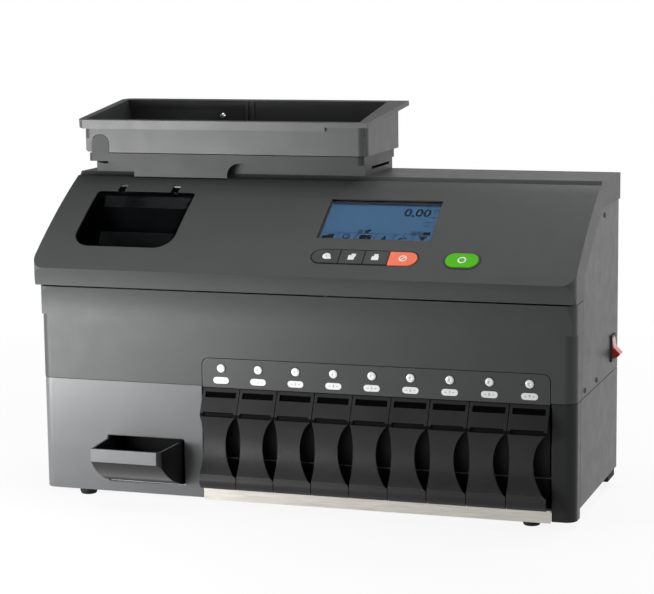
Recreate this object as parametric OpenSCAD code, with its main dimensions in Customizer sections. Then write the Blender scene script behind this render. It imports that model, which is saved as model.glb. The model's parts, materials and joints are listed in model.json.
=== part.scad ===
// Coin sorting machine: a desktop housing with a tipping hopper, a feed disc under a
// smoked flap, a belt and sorting rail, nine pull-out coin boxes and a reject cup.
// Inside each module X runs across the front, Y runs back from the base's front face
// and Z runs up from the table. on_table() then moves the whole machine so that the
// origin is the middle of its outer box, on the table.

/* [Housing] */
// Half of the housing's width
half_w = 281; // [275:1:300]
// Depth from the base's front face to the rear panel
body_d = 208; // [200:1:230]
// Height of the flat top above the table
top_z = 327; // [320:1:340]
// Height of the seam between the base and the upper front panel
seam_z = 123.5; // [123.5:0.5:124]
// Height of the groove under the hood's lip
groove_z = 220; // [216:1:224]
// Thickness of the moulded panels
shell_t = 2.5; // [2:0.5:3]
// Thickness of the sheet covers
sheet_t = 1.6; // [1:0.2:2]
// Corner radius of the hood, seen from above
hood_r = 14; // [10:1:20]

/* [Coin boxes] */
// Number of coin boxes
box_count = 9; // [6:1:9]
// Distance from one box to the next
box_pitch = 39.66; // [39.5:0.02:39.8]
// Middle of the first box
box_first_x = -81.35; // [-82:0.05:-81]
// Width of a box's front
box_w = 38.9; // [37:0.1:39.1]
// Depth of a box's bin
bin_d = 176; // [150:1:180]
// Radius of the finger bite in a box's front
bite_r = 39; // [36:1:42]
// Width of the finger bite
bite_w = 15.5; // [12:0.5:17]

/* [Hopper] */
// Left side of the hopper tray
tray_x0 = -273.3; // [-276:0.1:-272]
// Right side of the hopper tray
tray_x1 = 41.7; // [38:0.1:44]
// Front of the hopper tray
tray_y0 = 101; // [100:0.5:102]
// Rear of the hopper tray
tray_y1 = 223; // [216:1:226]
// Underside of the hopper tray
tray_z0 = 348.4; // [348:0.2:350]
// Rim height at the front
rim_front_z = 382.6; // [380:0.2:385]
// Rim height at the rear
rim_rear_z = 398; // [395:0.2:400]

/* [Controls] */
// Travel of the keys
key_travel = 1.2; // [0.8:0.1:1.5]
// Play between a key and its frame
key_gap = 0.35; // [0.3:0.05:0.5]

/* [Hidden] */

$fn = 64;
far = 900;                      // longer than anything it cuts

// Colours
dark = [0.22, 0.22, 0.225];
darker = [0.12, 0.12, 0.125];
black = [0.05, 0.05, 0.055];
steel = [0.72, 0.71, 0.69];

// Outer box of the machine, for the origin
cup_y = -48;                    // front of the reject cup
rocker_r = 11;
rocker_x = half_w + 0.2;
rocker_reach = 9.34;            // how far the rocker's low end stands out from its pivot
rim_left_x = tray_x0 - 6;
rim_y0 = tray_y0 - 3;
rim_y1 = tray_y1 + 3;
rim_deg = atan((rim_rear_z - rim_front_z) / (rim_y1 - rim_y0));
rim_drop = 9.2;                 // height of the deep rim at the left
box_x0 = -half_w - 1.2;
box_x1 = rocker_x + rocker_reach;
box_y0 = cup_y;
box_y1 = rim_y0 + (rim_y1 - rim_y0) * cos(rim_deg) + rim_drop * sin(rim_deg);

// Hood profile, in (y, z): a gently bowed slope from the lip up to the bend, a cove
// under the lip and a flat top
hood_t = 2;
flange_t = 1.2;
hood_hw = half_w + flange_t;
hood_rear = body_d + hood_t;
lip_y = -18.6;
lip_z = 240.3;
bend_y = 104.2;
bend_z = 322.8;
slope_sag = 3.9;
slope_l = norm([bend_y - lip_y, bend_z - lip_z]);
slope_deg = atan((bend_z - lip_z) / (bend_y - lip_y));
slope_r = (slope_l * slope_l / 4 + slope_sag * slope_sag) / (2 * slope_sag);
slope_c = [(lip_y + bend_y) / 2, (lip_z + bend_z) / 2]
    + [-sin(slope_deg), cos(slope_deg)] * (slope_sag - slope_r);
cove_r = 42;
cove_c = [-47.3, 209.6];
hood_outline = [[-60, 100], [-60, top_z], [hood_rear, top_z], [hood_rear, 100]];
top_step = [[100, 323.1], [110, 323.1], [113.5, 327.2], [113.5, 340], [100, 340]];
flange_y = 30.5;                // rear edge of the flange at the front
flange_edge = [[260, 300], [117, 300], [87, 281.5], [61, 265.5], [36, 250.5], [flange_y, 245]];

// Bay for the coin boxes
bay_x0 = -102.8;
bay_x1 = 257.2;
pan_z = 17;
floor_z = 20;                   // top of the bay's floor
box_z0 = floor_z + 0.3;
bin_hw = 16.9;
bin_y0 = 14;
bin_top = 110;
bin_wall = 1.8;
face_t = 2.2;
face_top = [-0.5, 121.5];
face_knee = [-12.5, 97.5];
bay_top = 122.4;                // lower edge of the label band
band_top = 151.9;

// Window, screen and keys, measured on the slope from the lip's edge
win_x0 = -248;
win_x1 = -137.5;
win_s0 = 33;
win_s1 = 121.6;
win_r = 20;
win_r_top = 5;
flap_gap = 0.8;
flap_t = 2.2;
pin_s = 130;                    // hinge pin: place on the slope, depth under it, radius
pin_d = 3.5;
pin_r = 1.1;
hinge_x = [-222.2, -162.2];
tab_w = 8.4;
lcd_x0 = 13;
lcd_x1 = 129.5;
lcd_s0 = 54.8;
lcd_s1 = 117;
bar_x0 = 14.2;
bar_x1 = 124;
bar_h = 20;
keys_s = 28.9;                  // middle line of all the keys
start_x = 167.8;
start_w = 34;
start_h = 19.6;

// Hopper
collar_x0 = -264.3;
collar_x1 = 36.7;
collar_y0 = 110;
collar_y1 = body_d + 1;
collar_z1 = 339;
ring_x0 = -268.3;
ring_y0 = tray_y0 + 0.5;
ring_y1 = 214;
ring_z1 = tray_z0 - 0.8;
throat = [[-246, 116], [-152, 192]];    // feed hole: low corner, high corner
pivot = [-254.3, 357];
pivot_r = 3;
ear_r = 10;
ear_t = 3.8;
ear_gap = 0.6;
ear_y1 = tray_y1 - 0.8;         // rear face of the rear ear
tray_wall = 2.5;

// Feed and transport
disc_x = -193.5;
disc_y = 57;
disc_r = 48;
disc_z = 178;
shaft_r = 4;
fit = 0.05;
deck_z = 126;                   // top of the deck plate
rail_z = 142;                   // top of the sorting rail
rail_y = 100;
pulley_r = 11;
pulley_z = 162;
drive_x = 246;
idler_x = -112;
axle_r = 3;
belt_t = 1.2;

function box_x(i) = box_first_x + box_pitch * (i - 1);

// Outline moved inwards by t, for points listed clockwise in (y, z)
function unit(v) = v / norm(v);
function inward(a, b) = let (d = unit(b - a)) [d[1], -d[0]];
function corner_in(a, b, c, t) =
    let (n1 = inward(a, b), n2 = inward(b, c), k = 1 + n1 * n2) b + (n1 + n2) * t / k;
function inset(p, t) =
    [for (i = [0:len(p) - 1])
        corner_in(p[(i + len(p) - 1) % len(p)], p[i], p[(i + 1) % len(p)], t)];

module on_table() {
    translate([-(box_x0 + box_x1) / 2, -(box_y0 + box_y1) / 2, 0]) children();
}

// Frame on the slope's chord: x across, y up from the lip, z out of it
module on_slope() {
    translate([0, lip_y, lip_z]) rotate([slope_deg, 0, 0]) children();
}

// Frame on the bowed face itself, at the distance s up from the lip
module at_slope(s) {
    on_slope() translate([0, slope_l / 2, slope_sag - slope_r])
        rotate([asin((slope_l / 2 - s) / slope_r), 0, 0]) translate([0, 0, slope_r]) children();
}

// Extrude a (y, z) outline along x
module along_x(x0, x1) {
    translate([x0, 0, 0]) rotate([90, 0, 90]) linear_extrude(x1 - x0) children();
}

// Extrude an (x, z) outline along y
module along_y(y0, y1) {
    translate([0, y1, 0]) rotate([90, 0, 0]) linear_extrude(y1 - y0) children();
}

module block(a, b) {
    translate(a) cube(b - a);
}

module rod_y(x, z, r, y0, y1) {
    translate([x, y0, z]) rotate([-90, 0, 0]) cylinder(r = r, h = y1 - y0);
}

module rod_x(y, z, r, x0, x1) {
    translate([x0, y, z]) rotate([0, 90, 0]) cylinder(r = r, h = x1 - x0);
}

// Sheet that follows the bowed face between two depths under it
module slope_shell(d0, d1) {
    on_slope() intersection() {
        translate([0, 0, -15]) linear_extrude(30) children();
        difference() {
            rod_x(slope_l / 2, slope_sag - slope_r, slope_r - d0, -half_w, half_w, $fn = 720);
            rod_x(slope_l / 2, slope_sag - slope_r, slope_r - d1, -half_w - 1, half_w + 1, $fn = 720);
        }
    }
}

// Rectangle from corner a to corner b with its own radius at each corner:
// low left, low right, high right, high left
module rounded_rect(a, b, r) {
    corners = [[a[0] + r[0], a[1] + r[0]], [b[0] - r[1], a[1] + r[1]],
               [b[0] - r[2], b[1] - r[2]], [a[0] + r[3], b[1] - r[3]]];
    signs = [[-1, -1], [1, -1], [1, 1], [-1, 1]];
    difference() {
        translate(a) square(b - a);
        for (i = [0:3]) if (r[i] > 0) difference() {
            translate(corners[i]) translate([signs[i][0] > 0 ? 0 : -r[i] - 1,
                                             signs[i][1] > 0 ? 0 : -r[i] - 1])
                square(r[i] + 1);
            translate(corners[i]) circle(r = r[i]);
        }
    }
}

// Footprint of a cover with rounded front corners
module plan(hw, y0, y1, r) {
    rounded_rect([-hw, y0], [hw, y1], [r, r, 0, 0]);
}

// ---- Housing ----

// Section of the hood, t inside its outer face
module hood_section(t) {
    difference() {
        intersection() {
            polygon(inset(hood_outline, t));
            translate(slope_c) circle(r = slope_r - t, $fn = 720);
        }
        translate(cove_c) circle(r = cove_r + t, $fn = 180);
        translate([0.4, -1] * t) polygon(top_step);
    }
}

// The hood's section, t inside its outer face, with its corners rounded in plan
module hood_body(hw, y0, r, t) {
    intersection() {
        along_x(-hw, hw) hood_section(t);
        translate([0, 0, 170]) linear_extrude(200) plan(hw, y0, hood_rear - t, r);
    }
}

module hood_keep() {
    along_x(-far / 2, far / 2)
        polygon(concat([[-60, groove_z + 1], [-60, 400], [260, 400]], flange_edge,
                       [[flange_y, groove_z + 1]]));
}

module window_outline(grow = 0) {
    rounded_rect([win_x0 - grow, win_s0 - grow], [win_x1 + grow, win_s1 + grow],
                 [win_r + grow, win_r + grow, win_r_top + grow, win_r_top + grow]);
}

module stadium(x, s, w, h) {
    rounded_rect([x - w / 2, s - h / 2], [x + w / 2, s + h / 2],
                 [h / 2 - 0.01, h / 2 - 0.01, h / 2 - 0.01, h / 2 - 0.01]);
}

module key_bar_outline(grow = 0) {
    stadium((bar_x0 + bar_x1) / 2, 0, bar_x1 - bar_x0 + 2 * grow, bar_h + 2 * grow);
}

module hood() color(dark) {
    difference() {
        intersection() {
            difference() {
                hood_body(hood_hw, lip_y, hood_r, 0);
                hood_body(half_w, lip_y + hood_t, hood_r - hood_t, hood_t);
            }
            hood_keep();
        }
        on_slope() translate([0, 0, -12]) linear_extrude(30) {
            window_outline();
            translate([lcd_x0, lcd_s0]) square([lcd_x1 - lcd_x0, lcd_s1 - lcd_s0]);
            for (x = hinge_x) translate([x - tab_w / 2, win_s1 - 3]) square([tab_w, 15.5]);
        }
        at_slope(keys_s) translate([0, 0, -12]) linear_extrude(30) {
            key_bar_outline(0.4);
            stadium(start_x, 0, start_w + 3.2, start_h + 3.2);
        }
        block([throat[0][0], throat[0][1], 300], [throat[1][0], throat[1][1], 340]);
    }
}

flare_r = 98;                   // concave sweep at the head of the upper front panel
flare_z = 190;
panel_y = -1.5;                 // face of the upper front panel

module front_panel_solid(t) {
    translate([0, 0, seam_z + 0.3 - (t > 0 ? 1 : 0)]) linear_extrude(flare_z - seam_z + 1)
        plan(half_w - t, panel_y + t, flange_y - 0.3 + (t > 0 ? 1 : 0), 12 - t);
    intersection() {
        along_x(-half_w + t, half_w - t) difference() {
            translate([-40, flare_z]) square([40 + flange_y - 0.3 + (t > 0 ? 1 : 0),
                                              groove_z - 0.6 - flare_z + (t > 0 ? 1 : 0)]);
            translate([panel_y - flare_r, flare_z]) circle(r = flare_r + t, $fn = 180);
        }
        translate([0, 0, 150]) linear_extrude(100)
            plan(half_w - t, panel_y - 4.6 + t, flange_y + 2, 13 - t);
    }
}

module band_outline(grow = 0) {
    rounded_rect([bay_x0 + 1.2 - grow, bay_top - grow], [bay_x1 - 1.2 + grow, band_top + grow],
                 [0, 0, 7 + grow, 7 + grow]);
}

module front_panel() color(dark) {
    difference() {
        front_panel_solid(0);
        front_panel_solid(shell_t);
        along_y(-20, 12) band_outline(0.7);
    }
}

module label_band() color(dark) {
    difference() {
        along_y(panel_y, panel_y + shell_t) band_outline();
        for (i = [1:box_count]) rod_y(box_x(i), 142, 4.75, panel_y - 1, panel_y + 9);
    }
    // tongue that laps behind the upper panel
    difference() {
        along_y(panel_y + shell_t, panel_y + shell_t + 1.5)
            rounded_rect([bay_x0 - 3, bay_top + 1.6], [bay_x1 + 3, band_top + 5], [0, 0, 0, 0]);
        for (i = [1:box_count]) rod_y(box_x(i), 142, 4.75, panel_y - 1, panel_y + 9);
    }
}

base_r = 11;
base_return = 22;             // how far the base fronts turn back round the corner
base_z0 = 7;
base_t = 3;

module base_front(x_cut, side) {
    difference() {
        translate([0, 0, base_z0]) linear_extrude(seam_z - 0.3 - base_z0) difference() {
            plan(half_w, 0, base_return, base_r);
            plan(half_w - base_t, base_t, base_return + 5, base_r - base_t);
        }
        block([side < 0 ? x_cut : -far, -5, 0], [side < 0 ? far : x_cut, 60, 200]);
    }
    wall_x = side < 0 ? x_cut - base_t : x_cut;
    block([wall_x, 0, base_z0], [wall_x + base_t, 3, seam_z - 0.3]);
    block([wall_x, 0, pan_z + sheet_t], [wall_x + base_t, 18.6, seam_z - 0.3]);
}

module base_front_left() color(dark) difference() {
    base_front(bay_x0, -1);
    block([cup_x0 - 1.6, -5, 18.2], [cup_x1 + 1.6, 8, 66]);
}

module base_front_right() color(darker) base_front(bay_x1, 1);

module side_plate(x0, lower) {
    if (lower)
        block([x0, base_return + 0.3, 16.7], [x0 + sheet_t, body_d, seam_z - 0.3]);
    else
        intersection() {
            along_x(x0, x0 + sheet_t) hood_section(hood_t + 0.2);
            block([x0 - 1, flange_y + 0.2, seam_z + 0.3], [x0 + 5, body_d, top_z]);
        }
}

module side_plate_upper_left() color(dark) side_plate(-half_w, false);
module side_plate_upper_right() color(dark) difference() {
    side_plate(half_w - sheet_t, false);
    switch_hole();
}
module side_plate_lower_left() color(dark) side_plate(-half_w, true);
module side_plate_lower_right() color(dark) side_plate(half_w - sheet_t, true);

inlet_x = 120;
inlet_z = 166;

module rear_panel() color(dark) difference() {
    block([-half_w + sheet_t, body_d - sheet_t, 19], [half_w - sheet_t, body_d, top_z - 2.2]);
    for (row = [0:7], col = [0:3])
        block([-170 + col * 46, body_d - 4, 200 + row * 9],
              [-134 + col * 46, body_d + 4, 203 + row * 9]);
    block([inlet_x - 13.8, body_d - 4, inlet_z - 10], [inlet_x + 13.8, body_d + 4, inlet_z + 10]);
}

module bottom_pan() color(steel) {
    translate([0, 0, pan_z]) linear_extrude(sheet_t)
        plan(half_w - 3.4, base_t + 0.2, base_return + 0.4, base_r - base_t);
    block([-half_w + sheet_t, base_return + 0.4, pan_z], [half_w - sheet_t, body_d, pan_z + sheet_t]);
    for (s = [-1, 1])
        block([s * (half_w - 1.5 * sheet_t) - sheet_t / 2, base_return + 0.4, pan_z],
              [s * (half_w - 1.5 * sheet_t) + sheet_t / 2, body_d - sheet_t - 0.2, pan_z + 15]);
}

module sill_strip() color(steel) {
    block([bay_x0 + 0.3, -1.2, 5.7], [bay_x1 - 0.3, 0, 18.4]);
    block([bay_x0 + 0.3, -1.2, pan_z - 1.2], [bay_x1 - 0.3, 3, pan_z]);
}

module bay_floor() color(darker) {
    block([bay_x0 - 2.5, 19, pan_z + sheet_t], [bay_x1 + 2.5, 200, floor_z]);
    block([bay_x0 + 0.4, 0.4, pan_z + sheet_t], [bay_x1 - 0.4, 19, floor_z]);
    for (i = [0:box_count]) translate([box_x(i + 0.5), 0, 0])
        block([-1.7, 20, floor_z], [1.7, 196, floor_z + 5]);
}

reject_hole = [[-160, 86], [-132, 108]];

module deck_plate() color(steel) difference() {
    union() {
        block([-half_w + 2.8, 8, deck_z - sheet_t], [half_w - 2.8, flange_y + 0.6, deck_z]);
        block([-half_w + sheet_t, flange_y + 0.6, deck_z - sheet_t],
              [half_w - sheet_t, body_d - sheet_t, deck_z]);
    }
    for (i = [1:box_count])
        block([box_x(i) - 14, 78, 100], [box_x(i) + 14, 122, 140]);
    block([reject_hole[0][0], reject_hole[0][1], 100], [reject_hole[1][0], reject_hole[1][1], 140]);
}

// Holes in the rail grow from the smallest coin to the largest
function coin_r(i) = 9 + 0.85 * (i - 1);

module sort_rail() color(steel) difference() {
    block([-103, 66, deck_z], [266, 134, rail_z]);
    block([-110, 68, deck_z - 1], [270, 132, rail_z - 2]);
    for (i = [1:box_count]) translate([box_x(i), rail_y, 130]) cylinder(r = coin_r(i), h = 20);
}

foot_r = 9;
module feet() color(black) {
    for (x = [-237.3, 235.2], y = [12.6, 186]) translate([x, y, 0]) difference() {
        union() {
            cylinder(r1 = foot_r - 1.2, r2 = foot_r, h = 3);
            translate([0, 0, 3]) cylinder(r = foot_r, h = pan_z - 3);
        }
        translate([0, 0, -1]) cylinder(r = 2.2, h = 5);
    }
    // heels under the rear ends of the side plates
    for (x = [-half_w + 1.8, half_w - 22]) block([x, 172, 7.6], [x + 20.2, 206, pan_z]);
}

screw_places = [[42.1, 129.7], [98.6, 129.6], [134, 291]];
module cover_screws() color(black)
    for (side = [-1, 1], p = screw_places) translate([side * half_w, p[0], p[1]])
        rotate([0, 90 * side, 0]) cylinder(r1 = 3, r2 = 2.2, h = 1.2);

module channel_lamps() color([0.85, 0.87, 0.85])
    for (i = [1:box_count]) {
        rod_y(box_x(i), 142, 4.65, panel_y - 0.5, panel_y + 4.1);
        rod_y(box_x(i), 142, 6, panel_y + shell_t + 1.5, panel_y + 7);
    }

module channel_labels() color([0.92, 0.92, 0.9])
    for (i = [1:box_count])
        along_y(panel_y - 0.4, panel_y) stadium(box_x(i), 129.8, 16.6, 6.6);

// ---- Hopper ----

// Space that the tray's low left edge sweeps as it tips
module tray_sweep() {
    intersection() {
        rod_y(pivot[0], pivot[1], 21.8, ring_y0 + ear_t, ear_y1 - ear_t);
        block([-290, 90, 320], [pivot[0] + 3, 230, 380]);
    }
}

module ear(y0, front) {
    difference() {
        union() {
            rod_y(pivot[0], pivot[1], ear_r, y0, y0 + ear_t);
            block([pivot[0] - ear_r, y0, ring_z1 - 2], [pivot[0] + ear_r, y0 + ear_t, pivot[1]]);
        }
        rod_y(pivot[0], pivot[1], pivot_r, y0 + (front ? 1.2 : -1), y0 + ear_t + (front ? 1 : -1.2));
    }
}

// Tongue that carries the ring down over the bend, with hollow sweeps at both sides
module tongue() {
    along_y(ring_y0, ring_y0 + 3) difference() {
        translate([-236.3, 323.4]) square([139, collar_z1 - 323.4 + 1]);
        for (x = [-228.3, -98.3]) translate([x, 326]) circle(r = 12.6);
        translate([-240, 300]) square([11.7, 38.6]);
        translate([-98.3, 300]) square([8, 38.6]);
    }
}

module hopper_collar() color(dark) {
    difference() {
        union() {
            block([collar_x0, collar_y0 + 4, top_z], [collar_x1, collar_y1, collar_z1 + 1]);
            ring();
            block([pivot[0] - ear_r, 200, collar_z1], [pivot[0] + ear_r, ear_y1, ring_z1]);
        }
        block([collar_x0 + 3, collar_y0 + 7, top_z - 1], [collar_x1 - 3, collar_y1 - 3, ring_z1 + 1]);
        block([collar_x1 - 9, 136, 332.6], [collar_x1 + 2, 198, 335.4]);
        tray_sweep();
    }
    ear(ring_y0, true);
    ear(ear_y1 - ear_t, false);
    tongue();
}

module ring() {
    translate([0, 0, collar_z1]) linear_extrude(ring_z1 - collar_z1)
        rounded_rect([ring_x0, ring_y0], [collar_x1 + 1, ring_y1], [5, 6, 2, 2]);
}

// Everything under the sloping rim line
module under_rim(drop) {
    translate([0, rim_y0, rim_front_z - drop]) rotate([rim_deg, 0, 0])
        translate([-far / 2, -40, -120]) cube([far, 220, 120]);
}

ledge_front = 34;               // inner edge of the grip ledge, front and rear
ledge_rear = 29;

module rim_slab(thick, x1a, x1b) {
    translate([0, rim_y0, rim_front_z]) rotate([rim_deg, 0, 0]) translate([0, 0, -thick])
        linear_extrude(thick) difference() {
            polygon([[rim_left_x + 6, 0], [x1a, 0], [x1b, rim_y1 - rim_y0], [rim_left_x + 6, rim_y1 - rim_y0],
                     [rim_left_x, rim_y1 - rim_y0 - 6], [rim_left_x, 6]]);
            polygon([[tray_x0 + tray_wall, 5.5], [ledge_front, 5.5], [ledge_rear, 119.5],
                     [tray_x0 + tray_wall, 119.5]]);
        }
}

module ear_recess(y0, y1, deep) {
    rod_y(pivot[0], pivot[1], ear_r + ear_gap + deep, y0, y1);
    block([tray_x0 - 2, y0, 340], [pivot[0], y1, pivot[1] + 6.2 + deep]);
    block([pivot[0] - 1, y0, 340], [pivot[0] + ear_r + ear_gap + deep, y1, pivot[1]]);
}

module hopper_tray() color(dark) {
    ya = ring_y0 + ear_t + 0.4;
    yb = ear_y1 - ear_t - 0.4;
    difference() {
        union() {
            difference() {
                intersection() {
                    translate([0, 0, tray_z0]) linear_extrude(80)
                        rounded_rect([tray_x0, tray_y0], [tray_x1, tray_y1], [8, 9, 8, 8]);
                    under_rim(0);
                }
                difference() {
                    union() {
                        block([tray_x0 + tray_wall, tray_y0 + tray_wall, tray_z0 + tray_wall],
                              [throat[1][0] + 1, tray_y1 - tray_wall, 420]);
                        block([throat[1][0], tray_y0 + tray_wall, tray_z0 + tray_wall],
                              [tray_x1 - tray_wall, tray_y1 - tray_wall - 3, 420]);
                    }
                    // thick places behind the ears' recesses
                    ear_recess(tray_y0, ya + tray_wall, tray_wall);
                    ear_recess(yb - tray_wall, tray_y1, tray_wall);
                    // floor that slopes down to the feed hole
                    along_y(tray_y0, tray_y1)
                        polygon([[-110, tray_z0], [-110, tray_z0 + 3], [tray_x1, 362], [tray_x1, tray_z0]]);
                    // ribs on the rear wall
                    for (x = [-130.5, -123.5])
                        block([x - 1.5, tray_y1 - tray_wall - 5, tray_z0], [x + 1.5, tray_y1, 420]);
                }
            }
            rim_slab(5, 44, 51);
            intersection() {
                rim_slab(rim_drop, 44, 51);
                block([-far / 2, 0, 300], [-2, 300, 420]);
            }
        }
        ear_recess(tray_y0 - 10, ya, 0);
        ear_recess(yb, tray_y1 + 10, 0);
        rod_y(pivot[0], pivot[1], pivot_r + fit, tray_y0 - 5, ya + 6);
        rod_y(pivot[0], pivot[1], pivot_r + fit, yb - 6, tray_y1 + 5);
        block([throat[0][0], throat[0][1], 340], [throat[1][0], throat[1][1], tray_z0 + tray_wall + 1]);
        // the low left edge is bevelled
        translate([tray_x0, 0, tray_z0]) rotate([0, 45, 0]) cube([4, far, 4], center = true);
        // grip hollow under the right ledge's front end
        block([-2, rim_y0 - 1, 360], [far, tray_y0, rim_front_z - 5.2]);
    }
}

module tray_pivots() color(steel) {
    rod_y(pivot[0], pivot[1], pivot_r, ring_y0 + 1.2, ring_y0 + ear_t + 3.2);
    rod_y(pivot[0], pivot[1], pivot_r, ear_y1 - ear_t - 3.2, ear_y1 - 1.2);
}

module tray_screw() color(steel)
    translate([-160, tray_y1 - tray_wall, 380]) rotate([90, 0, 0]) {
        cylinder(r = 3.6, h = 2);
        translate([0, 0, 2]) cylinder(r1 = 3.6, r2 = 1.8, h = 1.8);
    }

// ---- Inspection window ----

module window_frame() color(black) {
    difference() {
        union() {
            slope_shell(hood_t, hood_t + 2.8) difference() {
                window_outline(7);
                window_outline(-4);
            }
            // bosses that hold the hinge pins
            for (x = hinge_x, s = [-1, 1]) at_slope(pin_s) translate([x + s * 5.6, 0, 0])
                block([-1.4, -5, -7], [1.4, 3.4, -hood_t]);
        }
        slope_shell(hood_t - 1, hood_t + 1) window_outline(0.6);
        for (x = hinge_x) at_slope(pin_s) {
            translate([x - tab_w / 2, -9.5, -20]) cube([tab_w, 18, 30]);
            rod_x(0, -pin_d, pin_r, x - 9, x + 9);
        }
    }
}

module inspection_flap() color([0.06, 0.06, 0.07, 0.6]) difference() {
    union() {
        slope_shell(0.4, 0.4 + flap_t) difference() {
            window_outline(-flap_gap);
            // finger notch at the foot
            translate([-193.6, win_s0 - 9.4]) circle(r = 12);
        }
        for (x = hinge_x) at_slope(pin_s) {
            block([x - 3.7, -12, -2.3], [x + 3.7, 0, -0.8]);
            rod_x(0, -pin_d, 2.5, x - 3.7, x + 3.7);
        }
    }
    for (x = hinge_x) at_slope(pin_s) rod_x(0, -pin_d, pin_r + fit, x - 10, x + 10);
}

module flap_pins() color(steel)
    for (x = hinge_x) at_slope(pin_s) rod_x(0, -pin_d, pin_r, x - 7, x + 7);

// ---- Feed ----

ramp_hi = [196, 324.6];
ramp_lo = [98, 232];
gate_z = [266, 292];
module feed_ramp() color(steel) {
    x0 = throat[0][0] - 6;
    x1 = throat[1][0] + 6;
    along_x(x0, x1)
        polygon([ramp_lo, ramp_hi, ramp_hi + [4, 0], ramp_lo + [3.2, -2]]);
    for (x = [x0 - 1.5, x1])
        along_x(x, x + 1.5)
            polygon([ramp_lo + [3.2, -2], ramp_lo + [-12, 20], [118, 320], ramp_hi + [4, 0]]);
    // cross band in front, on an arm at each side
    block([x0 - 4.5, 80, gate_z[0]], [x1 + 4.5, 82, gate_z[1]]);
    for (x = [x0 - 4.5, x1 + 1.5]) block([x, 82, gate_z[0]], [x + 3, 99, gate_z[0] + 8]);
}

module reject_chute() color(steel) {
    x0 = reject_hole[0][0] - 1.5;
    x1 = reject_hole[1][0] + 1.5;
    foot = [18, 66];
    head = [reject_hole[1][1], deck_z - sheet_t];
    along_x(x0, x1) polygon([foot, head, head - [0, 1.8], foot - [0, 0.9]]);
    for (x = [x0, x1 - 1.5]) along_x(x, x + 1.5)
        polygon([foot, foot + [0, 16], [reject_hole[0][1], head[1]], head]);
}

module feed_well() color(darker) {
    difference() {
        translate([disc_x, disc_y, disc_z - 8]) cylinder(r = disc_r + 4, h = 42);
        translate([disc_x, disc_y, disc_z - 5]) cylinder(r = disc_r + 1.5, h = 60);
        translate([disc_x, disc_y, disc_z - 20]) cylinder(r = shaft_r + fit, h = 40);
        // coins leave the well sideways, onto the rail
        block([disc_x + 20, disc_y - 14, disc_z - 1], [disc_x + 70, disc_y + 20, disc_z + 60]);
    }
    for (a = [30, 150, 270]) translate([disc_x, disc_y, deck_z]) rotate(a)
        translate([disc_r - 4, 0, 0]) cylinder(r = 4, h = disc_z - 8 - deck_z);
}

module feed_disc() color([0.5, 0.5, 0.52]) translate([disc_x, disc_y, disc_z]) difference() {
    cylinder(r = disc_r, h = 5);
    translate([0, 0, -1]) cylinder(r = shaft_r, h = 8);
    for (a = [0:72:359]) rotate(a) translate([28, 0, 3]) cylinder(r = 13, h = 5);
}

module disc_shaft() color(steel) translate([disc_x, disc_y, 0]) {
    translate([0, 0, 150]) cylinder(r = shaft_r, h = disc_z + 5 - 150);
    translate([0, 0, disc_z + 5]) cylinder(r = 8, h = 3);
}

module feed_motor() color(darker) translate([disc_x, disc_y, deck_z]) difference() {
    cylinder(r = 24, h = disc_z - 12 - deck_z);
    translate([0, 0, 149 - deck_z]) cylinder(r = shaft_r + fit, h = 60);
}

// ---- Transport ----

module belt_plate(y0) {
    difference() {
        block([idler_x - 16, y0, rail_z], [drive_x + 16, y0 + 2, pulley_z + 12]);
        for (x = [drive_x, idler_x]) rod_y(x, pulley_z, axle_r + fit, y0 - 1, y0 + 3);
    }
}

module belt_frame() color(steel) {
    difference() {
        union() {
            belt_plate(rail_y - 16);
            belt_plate(rail_y + 14);
            for (x = [idler_x + 30, drive_x - 30])
                block([x - 3, rail_y - 14, pulley_z - 3], [x + 3, rail_y + 14, pulley_z + 3]);
        }
        block([-200, 60, 100], [-104, 140, rail_z]);
    }
}

module belt_loop(r, y0, y1) {
    along_y(y0, y1) rounded_rect([idler_x - r, pulley_z - r], [drive_x + r, pulley_z + r],
                                 [r - 0.01, r - 0.01, r - 0.01, r - 0.01]);
}

module transport_belt() color(black) difference() {
    belt_loop(pulley_r + 0.12 + belt_t, rail_y - 6, rail_y + 6);
    belt_loop(pulley_r + 0.12, rail_y - 7, rail_y + 7);
}

module pulley(x) {
    rod_y(x, pulley_z, pulley_r, rail_y - 7, rail_y + 7);
    rod_y(x, pulley_z, axle_r, rail_y - 19, rail_y + 22);
    for (a = [0:60:359]) translate([x, rail_y + 7, pulley_z]) rotate([-90, a, 0])
        translate([7, 0, 0]) cylinder(r = 1.5, h = 2);
}

module drive_pulley() color(steel) pulley(drive_x);
module idler_pulley() color(steel) pulley(idler_x);

module belt_motor() color(darker) difference() {
    union() {
        rod_y(drive_x, pulley_z, 16, rail_y + 16.2, rail_y + 60);
        block([drive_x - 17, rail_y + 44, deck_z], [drive_x + 17, rail_y + 50, pulley_z]);
    }
    rod_y(drive_x, pulley_z, axle_r + fit, rail_y + 10, rail_y + 24);
}

// ---- Screen and keys ----

lcd_n = 0.2;                    // face of the glass's seat, over the slope's chord
module lcd_module() color([0.18, 0.3, 0.42]) on_slope()
    block([lcd_x0 - 3, lcd_s0 - 3, lcd_n - 5.6], [lcd_x1 + 3, lcd_s1 + 3, lcd_n - 0.5]);

module lcd_window() color([0.4, 0.55, 0.7, 0.5]) on_slope()
    block([lcd_x0 + 0.3, lcd_s0 + 0.3, lcd_n - 0.5], [lcd_x1 - 0.3, lcd_s1 - 0.3, lcd_n + 0.9]);

// Keys of the bar: left and right edges
bar_keys = [[bar_x0 + 1, 43.3], [44.1, 68.3], [69.1, 93.4], [94.2, bar_x1 - 1]];
key_proud = 0.6;

module bar_key_outline(k, grow) {
    intersection() {
        key_bar_outline(-1 + grow);
        translate([bar_keys[k][0] - grow, -30]) square([bar_keys[k][1] - bar_keys[k][0] + 2 * grow, 60]);
    }
}

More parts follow.
